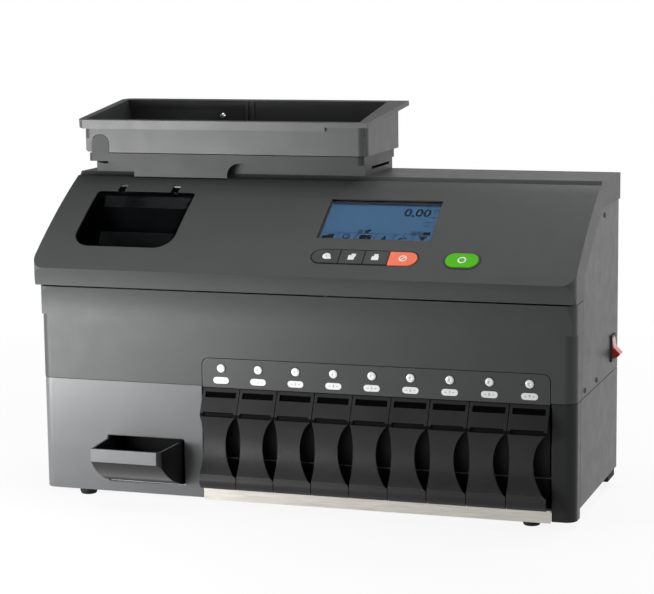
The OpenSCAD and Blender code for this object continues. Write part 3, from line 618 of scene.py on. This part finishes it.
def tile(
    centre: Sequence[float],
    size: Sequence[float],
    place: Matrix,
    edge_mm: float = 0.0,
) -> bpy.types.Object:
    """Adds a small block with rounded edges.

    Args:
        centre: its middle in the drawing frame, in millimetres.
        size: its sides, in millimetres.
        place: the frame that it goes to.
        edge_mm: how far its edges are rounded.

    Returns:
        The block.
    """
    bpy.ops.mesh.primitive_cube_add(size=1.0, location=[c * MM for c in centre], scale=[s * MM for s in size])
    block = settle(bpy.context.object, place)
    if edge_mm > 0:
        soften(block, edge_mm, 2)
    return block


def ring(
    centre: Sequence[float],
    radius: float,
    wire: float,
    place: Matrix,
    flat: float = 0.4,
) -> bpy.types.Object:
    """Adds a flattened ring.

    Args:
        centre: its middle in the drawing frame, in millimetres.
        radius: the radius of its middle line.
        wire: half the width of its line.
        place: the frame that it goes to.
        flat: its height as a share of its line's width.

    Returns:
        The ring.
    """
    bpy.ops.mesh.primitive_torus_add(
        location=[c * MM for c in centre],
        major_radius=radius * MM,
        minor_radius=wire * MM,
        major_segments=36,
        minor_segments=8,
    )
    made = bpy.context.object
    made.scale = (1.0, 1.0, flat)
    settle(made, place)
    bpy.ops.object.shade_smooth()
    return made


def words(
    text: str,
    height: float,
    centre: Sequence[float],
    place: Matrix,
    thick: float = 0.05,
    bold: float = 0.0,
) -> bpy.types.Object:
    """Adds figures as a thin raised print.

    Args:
        text: the figures.
        height: their height in millimetres.
        centre: their middle in the drawing frame.
        place: the frame that they go to.
        thick: how far they stand out.
        bold: how much wider their strokes are on each side.

    Returns:
        The figures as a mesh.
    """
    bpy.ops.object.text_add()
    made = bpy.context.object
    made.data.body = text
    made.data.align_x = "CENTER"
    made.data.align_y = "CENTER"
    made.data.size = height * MM / 0.7
    made.data.extrude = thick * MM / 2
    made.data.offset = bold * MM
    made.data.resolution_u = 3
    pick([made])
    bpy.ops.object.convert(target="MESH")
    made = bpy.context.object
    made.location = [c * MM for c in centre]
    return settle(made, place)


# ---- Sub-assemblies ----


@dataclass
class Housing:
    """The hood, the panels and the sheet covers, with the feet under them."""

    # The cross in a screw's head: its depth, its length and the width of its slots
    cross: Tuple[float, float, float] = (1.2, 3.6, 0.7)
    # The cover screws on each side, as (y, z)
    screw_spots: Tuple[Tuple[float, float], ...] = ((42.1, 129.7), (98.6, 129.6), (134.0, 291.0))
    # The painted seam shadow: its middle and its size, in mm
    seam_middle: Tuple[float, float, float] = (-186.0, 0.0, 123.55)
    seam_size: Tuple[float, float, float] = (162.0, 0.4, 1.3)

    def build(self) -> None:
        """Builds every cover of the housing."""
        refine("hood", Stock.HOOD, 1.3, 3)
        refine("front_panel", Stock.PANEL, 0.7)
        refine("base_front_left", Stock.BASE, 0.8)
        # The corner pillar takes a darker copy of the base's ABS, as painted shade.
        refine("base_front_right", Stock.PILLAR, 0.8)
        for side in ("left", "right"):
            refine(f"side_plate_upper_{side}", Stock.SIDES, 0.3)
            refine(f"side_plate_lower_{side}", Stock.SIDES, 0.3)
        refine("rear_panel", Stock.SIDES, 0.3)
        refine("bottom_pan", Stock.ZINC, 0.3)
        refine("sill_strip", Stock.STRIP, 0.3)
        refine("bay_floor", Stock.DARK, 0.3)
        refine("feet", Stock.RUBBER, 0.8)
        self.screws()
        # Painted shadow: a near-black strip just proud of the seam between the middle panel and the base,
        # where the real gap lies in shade.
        seam = tile(self.seam_middle, self.seam_size, Matrix.Translation(DATUM.place(0, 0, 0)), 0.03)
        dress(seam, "seam_painted_shadow", Stock.RUBBER)

    def screws(self) -> None:
        """Cuts a cross into the head of each cover screw."""
        heads = copy_solid("cover_screws")
        low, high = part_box("cover_screws")
        deep, length, slot = self.cross
        cutters = []
        for x in (low.x, high.x):
            for y, z in self.screw_spots:
                centre = DATUM.place(0, y, z)
                centre.x = x
                for size in ((deep, length, slot), (deep, slot, length)):
                    cutters.append(tile((0, 0, 0), size, Matrix.Translation(centre)))
        cutter = join(cutters)
        cut = heads.modifiers.new("cross", "BOOLEAN")
        cut.operation = "DIFFERENCE"
        cut.solver = "EXACT"
        cut.object = cutter
        cut.use_self = True
        apply_all(heads)
        bpy.data.objects.remove(cutter)
        soften(heads, 0.0)
        dress(heads, "cover_screw_heads", Stock.SCREW, "housing", ("cover_screws",))


@dataclass
class Channels:
    """The band over the boxes, with a lamp and a label for each channel."""

    face_y: float = -1.5
    lamp_z: float = 142.0
    label_z: float = 129.8
    label_out: float = 0.4
    lens_radius: float = 4.3
    lens_length: float = 5.0
    lens_sunk: float = 2.3
    # How the lens's face steps in and up or down, in mm: the dome, then the dimple
    lens_steps: Tuple[Tuple[float, float], ...] = ((0.6, 0.35), (1.0, 0.25), (1.6, 0.1), (0.35, -0.3))
    # Rings round and over the lens: radius, half the line's width
    rim: Tuple[float, float] = (4.6, 0.4)
    diode: Tuple[float, float] = (1.0, 0.35)
    figure_high: float = 2.9
    dash: Tuple[float, float, float] = (2.2, 0.45, 0.05)
    dash_reach: float = 3.9

    def build(self) -> None:
        """Builds the band, the lamps and the labels."""
        refine("label_band", Stock.PANEL, 0.25)
        lenses, rims, diodes, figures, lines = [], [], [], [], []
        for index in range(DATUM.channels):
            face = DATUM.upright(DATUM.channel(index), self.face_y, self.lamp_z)
            lenses.append(self.lens(face))
            rims.append(ring((0, 0, 0.25), *self.rim, face, 0.8))
            diodes.append(ring((0, 0, 0.62), *self.diode, face, 0.5))
            label = DATUM.upright(DATUM.channel(index), self.face_y - self.label_out, self.label_z)
            figures.append(words(str(index + 1), self.figure_high, (0, 0, 0.02), label))
            for side in (-1, 1):
                lines.append(tile((side * self.dash_reach, 0, 0.02), self.dash, label))
        dress(join(lenses), "lamp_lenses", Stock.LAMP, "housing", ("channel_lamps",))
        dress(join(rims), "lamp_rims", Stock.DARK, "housing")
        dress(join(diodes), "lamp_diodes", Stock.INK, "housing")
        refine("channel_labels", Stock.LABEL, 0.12)
        dress(join(figures), "channel_figures", Stock.INK, "housing")
        dress(join(lines), "channel_dashes", Stock.INK, "housing")

    def lens(self, face: Matrix) -> bpy.types.Object:
        """Adds a domed lens with a small dimple over its diode and returns it."""
        bpy.ops.mesh.primitive_cylinder_add(
            vertices=48,
            radius=self.lens_radius * MM,
            depth=self.lens_length * MM,
            end_fill_type="NGON",
            location=(0, 0, -self.lens_sunk * MM),
        )
        lens = bpy.context.object
        bpy.ops.object.mode_set(mode="EDIT")
        bpy.ops.mesh.select_mode(type="FACE")
        bpy.ops.mesh.select_all(action="DESELECT")
        bpy.ops.object.mode_set(mode="OBJECT")
        for polygon in lens.data.polygons:
            polygon.select = polygon.normal.z > 0.9
        bpy.ops.object.mode_set(mode="EDIT")
        for inset, rise in self.lens_steps:
            bpy.ops.mesh.inset(thickness=inset * MM, depth=rise * MM)
        bpy.ops.object.mode_set(mode="OBJECT")
        settle(lens, face)
        bpy.ops.object.shade_smooth_by_angle(angle=math.radians(50))
        return lens


@dataclass
class Hopper:
    """The collar on the top cover and the tray that tips on it."""

    def build(self) -> None:
        """Builds the collar, the tray and its pins."""
        refine("hopper_collar", Stock.COLLAR, 0.7)
        refine("hopper_tray", Stock.HOPPER, 0.8, 3)
        refine("tray_pivots", Stock.PIN, 0.3)
        refine("tray_screw", Stock.PIN, 0.3)


@dataclass
class InspectionWindow:
    """The smoked flap over the feed disc, in its sunk frame."""

    def build(self) -> None:
        """Builds the frame, the flap and its pins."""
        refine("window_frame", Stock.DARK, 0.3)
        refine("inspection_flap", Stock.SMOKED, 0.3)
        refine("flap_pins", Stock.PIN, 0.2)


@dataclass
class Controls:
    """The screen and the five keys on the slope."""

    keys_s: float = 28.9
    key_top: float = 0.6
    key_x: Tuple[float, float, float] = (30.3, 56.4, 80.8)
    stop_x: float = 108.4
    start_x: float = 167.8
    screen: Tuple[float, float, float, float] = (13.3, 55.1, 129.2, 116.7)
    # The lit picture: how deep it lies, its bar's place and height under the top edge, the frame's
    # shade along the top and the left, and the height of its large and small figures
    picture_depth: float = 0.28
    top_bar: Tuple[float, float] = (4.4, 4.0)
    shade_wide: Tuple[float, float] = (2.4, 1.2)
    large_high: float = 11.4
    small_high: float = 6.4
    # The menu row at its foot: its height and how far it is lifted
    row_high: float = 10.4
    row_lift: float = 2.3
    # Plain bars of the picture: share across, share up, width and height in mm
    bars: Tuple[Tuple[float, float, float, float], ...] = (
        (0.965, 0.63, 7.0, 1.2), (0.915, 0.51, 9.0, 0.9), (0.985, 0.505, 2.4, 0.9),
        (0.915, 0.42, 7.6, 0.9), (0.98, 0.415, 2.4, 0.9), (0.41, 0.25, 4.4, 4.4),
        (0.425, 0.275, 4.4, 3.4), (0.943, 0.235, 7.4, 5.2),
    )
    # Menu signs in six cells: place across from the middle, place up, width and height in mm
    signs: Tuple[Tuple[Tuple[float, float, float, float], ...], ...] = (
        ((-1.0, 3.6, 12.4, 4.4), (2.0, 6.6, 7.0, 3.0)),
        ((-0.2, 3.0, 2.4, 1.4),),
        ((-0.4, 4.8, 12.4, 6.2),),
        ((-0.6, 3.2, 4.4, 3.0), (0.2, 6.2, 2.2, 2.6)),
        ((-2.6, 3.6, 4.0, 2.2), (2.4, 4.2, 3.6, 1.8), (0.4, 6.8, 3.0, 1.2)),
        ((0.6, 7.0, 9.0, 2.4), (0.6, 4.6, 4.6, 2.6), (0.6, 2.6, 2.2, 2.2)),
    )

    def build(self) -> None:
        """Builds the bezel, the keys and the screen."""
        refine("key_bezel", Stock.DARK, 0.3)
        for node in ("key_1", "key_2", "key_3"):
            refine(node, Stock.KEY, 0.25)
        refine("stop_key", Stock.STOP, 0.5, 3)
        refine("start_key", Stock.START, 0.5, 3)
        self.legends()
        refine("lcd_module", Stock.DARK, 0.3)
        refine("lcd_window", Stock.SCREEN_GLASS, 0.15)
        self.picture()

    def legends(self) -> None:
        """Prints a plain symbol on each key."""
        top = -self.key_top
        places = [DATUM.slope(x, self.keys_s, top) for x in self.key_x]
        disc = ring((0, 0, 0), 2.3, 1.75, places[0], 0.08)
        tail = tile((3.6, -2.4, 0), (3.0, 2.6, 0.12), places[0], 0.05)
        dress(join([disc, tail]), "return_legend", Stock.LEGEND, BODY_OF["key_1"])
        self.sheaf(places[1], (6.4, 6.2), (1.8, 2.2), (4.6, 4.0), "page_legend", "key_2")
        self.sheaf(places[2], (7.2, 5.2), (0.6, 3.0), (4.4, 3.2), "slip_legend", "key_3")
        turn = Matrix.Rotation(math.radians(45), 4, "Z")
        spot = DATUM.slope(self.stop_x, self.keys_s, top)
        stop = join([ring((0, 0, 0), 3.5, 0.55, spot), tile((0, 0, 0), (6.6, 1.0, 0.12), spot @ turn, 0.03)])
        dress(stop, "stop_legend", Stock.LEGEND, BODY_OF["stop_key"])
        spot = DATUM.slope(self.start_x, self.keys_s, -1.0)
        dress(ring((0, 0, 0), 3.5, 0.75, spot), "start_legend", Stock.LEGEND, BODY_OF["start_key"])

    def sheaf(
        self,
        place: Matrix,
        low: Tuple[float, float],
        shift: Tuple[float, float],
        high: Tuple[float, float],
        name: str,
        node: str,
    ) -> None:
        """Prints two sheets, one over the other.

        Args:
            place: the frame of the key's face.
            low: width and height of the front sheet.
            shift: how far the other sheet lies up and to the right.
            high: width and height of the other sheet.
            name: the legend's name.
            node: the key.
        """
        sheets = [
            tile((-0.5, -0.9, 0), (*low, 0.12), place, 0.05),
            tile((shift[0] - 0.5, shift[1], 0), (*high, 0.12), place, 0.05),
        ]
        dress(join(sheets), name, Stock.LEGEND, BODY_OF[node])

    def picture(self) -> None:
        """Draws the lit picture just under the screen's cover."""
        x0, s0, x1, s1 = self.screen
        run = Vector((DATUM.bend[0] - DATUM.lip[0], DATUM.bend[1] - DATUM.lip[1]))
        origin = Matrix.Translation(DATUM.place(x0, *DATUM.lip))
        tilt = Matrix.Rotation(math.atan2(run.y, run.x), 4, "X")
        chord = origin @ tilt @ Matrix.Translation((0, s0 * MM, 0))
        wide, high = x1 - x0, s1 - s0
        z = -self.picture_depth
        panel = tile((wide / 2, high / 2, z - 0.04), (wide, high, 0.06), chord)
        dress(panel, "screen_panel", Stock.SCREEN, "housing")
        down, bar_high = self.top_bar
        bar = tile((wide / 2, high - down, z + 0.01), (wide, bar_high, 0.05), chord)
        dress(bar, "screen_top_bar", Stock.SCREEN_BAR, "housing")
        top, left = self.shade_wide
        shade = [
            tile((wide / 2, high - top / 2, z + 0.02), (wide, top, 0.06), chord),
            tile((left / 2, high / 2, z + 0.02), (left, high, 0.06), chord),
        ]
        dress(join(shade), "screen_shade", Stock.DARK, "housing")
        ink = [
            words("0,00", self.large_high, (wide * 0.803, high * 0.73, z + 0.02), chord, 0.04, 0.35),
            words("0", self.small_high, (wide * 0.35, high * 0.235, z + 0.02), chord, 0.04, 0.15),
            words("0/0", self.small_high, (wide * 0.855, high * 0.235, z + 0.02), chord, 0.04, 0.15),
            ring((wide * 0.965, high * 0.79, z + 0.02), 2.3, 0.35, chord, 0.1),
        ]
        for across, up, w, h in self.bars:
            ink.append(tile((wide * across, high * up, z + 0.02), (w, h, 0.04), chord))
        ink += self.menu(wide, z, chord)
        dress(join(ink), "screen_marks", Stock.SCREEN_INK, "housing")

    def menu(self, wide: float, z: float, chord: Matrix) -> List[bpy.types.Object]:
        """Draws the row of six plain signs at the foot of the picture.

        Args:
            wide: the picture's width.
            z: the height of the picture over the chord.
            chord: the picture's frame.

        Returns:
            The marks.
        """
        row, lean = self.row_high, Matrix.Rotation(math.radians(-12), 4, "Z")
        chord = chord @ Matrix.Translation((0, self.row_lift * MM, 0))
        cell = wide / 6
        marks = [tile((wide / 2, row, z + 0.02), (wide, 0.6, 0.04), chord)]
        for index in range(1, 6):
            for gap in (-0.7, 0.7):
                foot = chord @ Matrix.Translation(((cell * index + gap) * MM, row / 2 * MM, (z + 0.02) * MM))
                marks.append(tile((0, 0, 0), (0.45, row, 0.04), foot @ lean))
        for index, shapes in enumerate(self.signs):
            for across, up, w, h in shapes:
                marks.append(tile((cell * (index + 0.5) + across, up, z + 0.02), (w, h, 0.04), chord))
        marks.append(ring((cell * 1.45, row / 2, z + 0.02), 3.4, 0.7, chord, 0.1))
        return marks


@dataclass
class CoinBoxes:
    """The nine pull-out boxes and the reject cup."""

    # Half the width of the slots in a box's front
    slot_reach: float = 16.6
    # The leaning upper part of the front, from its top to its knee, as (y, z)
    face_top: Tuple[float, float] = (-0.5, 121.5)
    face_knee: Tuple[float, float] = (-12.5, 97.5)
    # The upper slot: its height, and how deep its walls lie under the leaning face
    slot_z: Tuple[float, float] = (111.0, 119.5)
    slot_depth: Tuple[float, float] = (-2.0, -0.2)
    # The fold under it, in height and in depth
    fold_z: Tuple[float, float] = (93.8, 100.2)
    fold_y: Tuple[float, float] = (-13.2, -10.2)
    # The round finger bite at the right of a box: its centre as (x, z), its radius, its rounded rim
    bite_centre: Tuple[float, float] = (42.95, 64.0)
    bite_radius: float = 39.0
    bite_rim: Tuple[float, float] = (0.05, 0.85)
    # The left edge of a box where it passes the next one's bite, across and in height
    edge_x: Tuple[float, float] = (-19.42, -18.6)
    edge_z: Tuple[float, float] = (28.0, 96.0)
    cup_front: float = -48.0
    cup_band: Tuple[float, float] = (49.0, 61.0)
    # The ledge that shows through each bite, pale as a painted glint: its size, and its place as (y, z)
    ledge: Tuple[float, float, float] = (38.4, 1.6, 1.2)
    ledge_place: Tuple[float, float] = (13.2, 47.0)

    def build(self) -> None:
        """Builds the boxes and the cup."""
        for index in range(1, DATUM.channels + 1):
            box = refine(f"coin_box_{index}", Stock.BOX, 0.8)
            middle = DATUM.channel(index - 1)
            # The upper slot: a smooth inset strip, darkened as painted shade in its recess.
            stain(box, Stock.SLOT, lambda spot, x=middle: self.in_slot(spot, x, True))
            # The fold under it: painted shade.
            stain(box, Stock.FOLD, lambda spot, x=middle: self.in_slot(spot, x, False))
            # Painted highlight along the rounded edges of the finger bites.
            stain(box, Stock.EDGE, lambda spot, x=middle: self.on_bite_edge(spot, x))
            # A pale ledge behind each box, a painted glint in the gap.
            place = Matrix.Translation(DATUM.place(middle, *self.ledge_place))
            ledge = tile((0, 0, 0), self.ledge, place, 0.2)
            dress(ledge, f"box_ledge_{index}", Stock.LEDGE, BODY_OF[f"coin_box_{index}"])
        cup = refine("reject_cup", Stock.CUP, 0.9, 3)
        # Light grey band across the cup's front, partly a painted reflection of the near light.
        stain(cup, Stock.BAND, self.on_cup_band)

    def on_cup_band(self, spot: Vector) -> bool:
        """Says whether a place lies on the flat band across the cup's front."""
        here = spot - DATUM.place(0, 0, 0)
        return here.y / MM < self.cup_front + 0.1 and between(here.z / MM, self.cup_band)

    def in_slot(self, spot: Vector, middle: float, upper: bool) -> bool:
        """Says whether a place lies inside one of a box front's two slots.

        Args:
            spot: the place, in metres.
            middle: the middle of the box.
            upper: whether the upper slot is meant, or the fold under it.

        Returns:
            True inside that slot.
        """
        here = spot - DATUM.place(middle, 0, 0)
        x, y, z = (c / MM for c in here)
        if abs(x) > self.slot_reach:
            return False
        down = Vector(self.face_knee) - Vector(self.face_top)
        out = Vector((down.y, -down.x)).normalized()
        depth = (Vector((y, z)) - Vector(self.face_top)).dot(out)
        if upper:
            return between(z, self.slot_z) and between(depth, self.slot_depth)
        return between(z, self.fold_z) and between(y, self.fold_y)

    def on_bite_edge(self, spot: Vector, middle: float) -> bool:
        """Says whether a place lies on the rounded edge of a box's finger bites.

        Args:
            spot: the place, in metres.
            middle: the middle of the box.

        Returns:
            True on the edge.
        """
        here = (spot - DATUM.place(middle, 0, 0)) / MM
        reach = math.hypot(here.x - self.bite_centre[0], here.z - self.bite_centre[1])
        at_left = between(here.x, self.edge_x) and between(here.z, self.edge_z)
        return at_left or between(reach - self.bite_radius, self.bite_rim)


@dataclass
class MainsSwitch:
    """The red rocker on the right side, and the inlet at the rear."""

    def build(self) -> None:
        """Builds the switch and the inlet."""
        refine("switch_bezel", Stock.DARK, 0.4)
        refine("switch_rocker", Stock.SWITCH, 0.5, 3)
        refine("mains_inlet", Stock.DARK, 0.4)


@dataclass
class Works:
    """The feed, the belt and the electrics, which show through gaps and open boxes."""

    def build(self) -> None:
        """Gives the works their finishes."""
        for node in ("deck_plate", "sort_rail", "feed_ramp", "reject_chute", "belt_frame", "power_supply"):
            refine(node, Stock.ZINC, 0.25)
        refine("feed_well", Stock.DARK, 0.5)
        refine("feed_disc", Stock.DISC, 0.4)
        for node in ("disc_shaft", "drive_pulley", "idler_pulley"):
            refine(node, Stock.PIN, 0.25)
        refine("feed_motor", Stock.MOTOR, 0.6)
        refine("belt_motor", Stock.MOTOR, 0.6)
        refine("transport_belt", Stock.BELT, 0.2)
        refine("control_board", Stock.BOARD, 0.2)


# ---- Studio ----


@dataclass
class Softbox:
    """A large soft lamp that faces a point of the machine, in metres and watts."""

    name: str
    place: Tuple[float, float, float]
    size: Tuple[float, float]
    power: float
    aim: Tuple[float, float, float] = (0.0, 0.0, 0.18)

    def build(self) -> None:
        """Adds the lamp."""
        bpy.ops.object.light_add(type="AREA", location=self.place)
        lamp = bpy.context.object
        lamp.name = self.name
        lamp.data.shape = "RECTANGLE"
        lamp.data.size, lamp.data.size_y = self.size
        lamp.data.energy = self.power
        lamp.visible_camera = False
        away = Vector(self.place) - Vector(self.aim)
        lamp.rotation_euler = away.to_track_quat("Z", "Y").to_euler()


def brighter(tree: bpy.types.NodeTree, one: Socket, other: Socket) -> Socket:
    """Returns the larger of two factors."""
    return add_node(tree, "ShaderNodeMath", {"operation": "MAXIMUM"}, {0: one, 1: other}).outputs[0]


def blend(
    tree: bpy.types.NodeTree, share: Socket, one: bpy.types.Node, other: bpy.types.Node
) -> bpy.types.Node:
    """Blends two shaders; the share is how much of the other one shows."""
    return add_node(tree, "ShaderNodeMixShader", None, {0: share, 1: one.outputs[0], 2: other.outputs[0]})


@dataclass
class Studio:
    """A pale floor, soft lamps and the camera."""

    world_grey: str = "#8a8c90"
    world_strength: float = 0.08
    floor_side: float = 16.0
    floor_white: float = 0.88
    # Height of a ray's direction at which the white backdrop starts to fade, and where it is gone
    backdrop: Tuple[float, float] = (0.15, 0.4)
    # Distance from the machine's middle over which the floor fades to plain white, in metres
    floor_fade: Tuple[float, float] = (0.4, 1.2)
    floor_drop: float = 0.0002
    # The camera: its angles round, up and rolled in degrees, its place and its lens in mm
    view_turn: Tuple[float, float, float] = (18.539, 8.725, -0.678)
    view_place: Tuple[float, float, float] = (691.26, -1967.17, 537.08)
    view_lens: float = 117.4

    def build(self) -> None:
        """Builds the whole studio."""
        self.world()
        self.floor()
        front = (0.0, -0.09, 0.18)
        Softbox("near_card", (-0.5, -0.62, 0.18), (0.45, 0.34), 6.0, front).build()
        Softbox("side_card", (-0.62, -0.45, 0.07), (0.4, 0.16), 2.8, (-0.2, -0.09, 0.07)).build()
        Softbox("overhead", (0.0, 0.0, 2.2), (1.8, 1.2), 18.0).build()
        Softbox("rear_overhead", (0.5, 1.2, 1.8), (1.6, 0.9), 21.0).build()
        Softbox("right_light", (2.1, -0.4, 0.8), (1.0, 1.0), 12.0).build()
        Softbox("rear_right", (1.5, 1.8, 0.7), (1.4, 1.2), 3.0).build()
        self.camera()

    def world(self) -> None:
        """Sets a dim grey surround with a white backdrop for the camera, metal and glass.

        The camera sees white all round. Mirrored and passing rays see it up to a low
        height, because the studio is dark overhead.
        """
        world = bpy.data.worlds.new("studio")
        bpy.context.scene.world = world
        world.use_nodes = True
        tree = world.node_tree
        tree.nodes.clear()
        rays = add_node(tree, "ShaderNodeLightPath")
        where = add_node(tree, "ShaderNodeTexCoord").outputs["Generated"]
        height = add_node(tree, "ShaderNodeSeparateXYZ", None, {0: where}).outputs["Z"]
        settings = {"From Min": self.backdrop[0], "From Max": self.backdrop[1], "To Min": 1.0, "To Max": 0.0}
        low = add_node(tree, "ShaderNodeMapRange", settings, {"Value": height}).outputs["Result"]
        mirrored = brighter(tree, rays.outputs["Is Glossy Ray"], rays.outputs["Is Transmission Ray"])
        there = add_node(tree, "ShaderNodeMath", {"operation": "MULTIPLY"}, {0: mirrored, 1: low}).outputs[0]
        seen = brighter(tree, rays.outputs["Is Camera Ray"], there)
        dim = add_node(
            tree, "ShaderNodeBackground", {"Color": linear(self.world_grey), "Strength": self.world_strength}
        )
        white = add_node(tree, "ShaderNodeBackground", {"Color": (1, 1, 1, 1), "Strength": 1.0})
        mixed = blend(tree, seen, dim, white)
        add_node(tree, "ShaderNodeOutputWorld", None, {"Surface": mixed.outputs[0]})

    def floor(self) -> None:
        """Lays a pale floor that keeps a faint shadow of the machine and fades to white."""
        bpy.ops.mesh.primitive_plane_add(size=self.floor_side, location=(0, 0, -self.floor_drop))
        plane = bpy.context.object
        plane.name = "studio_floor"
        material, tree = new_tree("pale_studio_floor")
        rays = add_node(tree, "ShaderNodeLightPath")
        mirrored = brighter(tree, rays.outputs["Is Glossy Ray"], rays.outputs["Is Transmission Ray"])
        seen = brighter(tree, rays.outputs["Is Camera Ray"], mirrored)
        where = add_node(tree, "ShaderNodeTexCoord").outputs["Object"]
        away = add_node(tree, "ShaderNodeVectorMath", {"operation": "LENGTH"}, {0: where}).outputs["Value"]
        near, far = self.floor_fade
        settings = {"From Min": near, "From Max": far, "To Min": self.floor_white, "To Max": 1.0}
        share = add_node(tree, "ShaderNodeMapRange", settings, {"Value": away}).outputs["Result"]
        dull = add_node(tree, "ShaderNodeBsdfDiffuse", {"Color": linear("#9a9a9a")})
        pale = add_node(tree, "ShaderNodeBsdfDiffuse", {"Color": linear("#f4f4f4")})
        white = add_node(tree, "ShaderNodeEmission", {"Color": (1, 1, 1, 1), "Strength": 1.0})
        shown = blend(tree, share, pale, white)
        mixed = blend(tree, seen, dull, shown)
        add_node(tree, "ShaderNodeOutputMaterial", None, {"Surface": mixed.outputs[0]})
        plane.data.materials.append(material)

    def camera(self) -> None:
        """Adds the camera, low and to the right of the machine's front."""
        azimuth, elevation, roll = (math.radians(a) for a in self.view_turn)
        back = Vector(
            (
                math.sin(azimuth) * math.cos(elevation),
                -math.cos(azimuth) * math.cos(elevation),
                math.sin(elevation),
            )
        )
        right = (-back).cross(Vector((0, 0, 1))).normalized()
        up = right.cross(-back)
        x_axis = right * math.cos(roll) + up * math.sin(roll)
        y_axis = up * math.cos(roll) - right * math.sin(roll)
        data = bpy.data.cameras.new("camera")
        data.lens = self.view_lens
        data.sensor_width = 36.0
        data.clip_start = 0.05
        camera = bpy.data.objects.new("camera", data)
        bpy.context.scene.collection.objects.link(camera)
        turn = Matrix((x_axis, y_axis, back)).transposed().to_4x4()
        camera.matrix_world = Matrix.Translation(DATUM.place(*self.view_place)) @ turn
        bpy.context.scene.camera = camera


def main() -> None:
    """Builds the machine, then the studio round it."""
    logging.basicConfig(level=logging.INFO, format="%(name)s: %(message)s")
    bpy.context.scene.view_settings.view_transform = "Standard"
    for assembly in (
        Housing(),
        Channels(),
        Hopper(),
        InspectionWindow(),
        Controls(),
        CoinBoxes(),
        MainsSwitch(),
        Works(),
    ):
        assembly.build()
        LOG.info("%s is built", type(assembly).__name__)
    Studio().build()


if __name__ == "__main__":
    main()
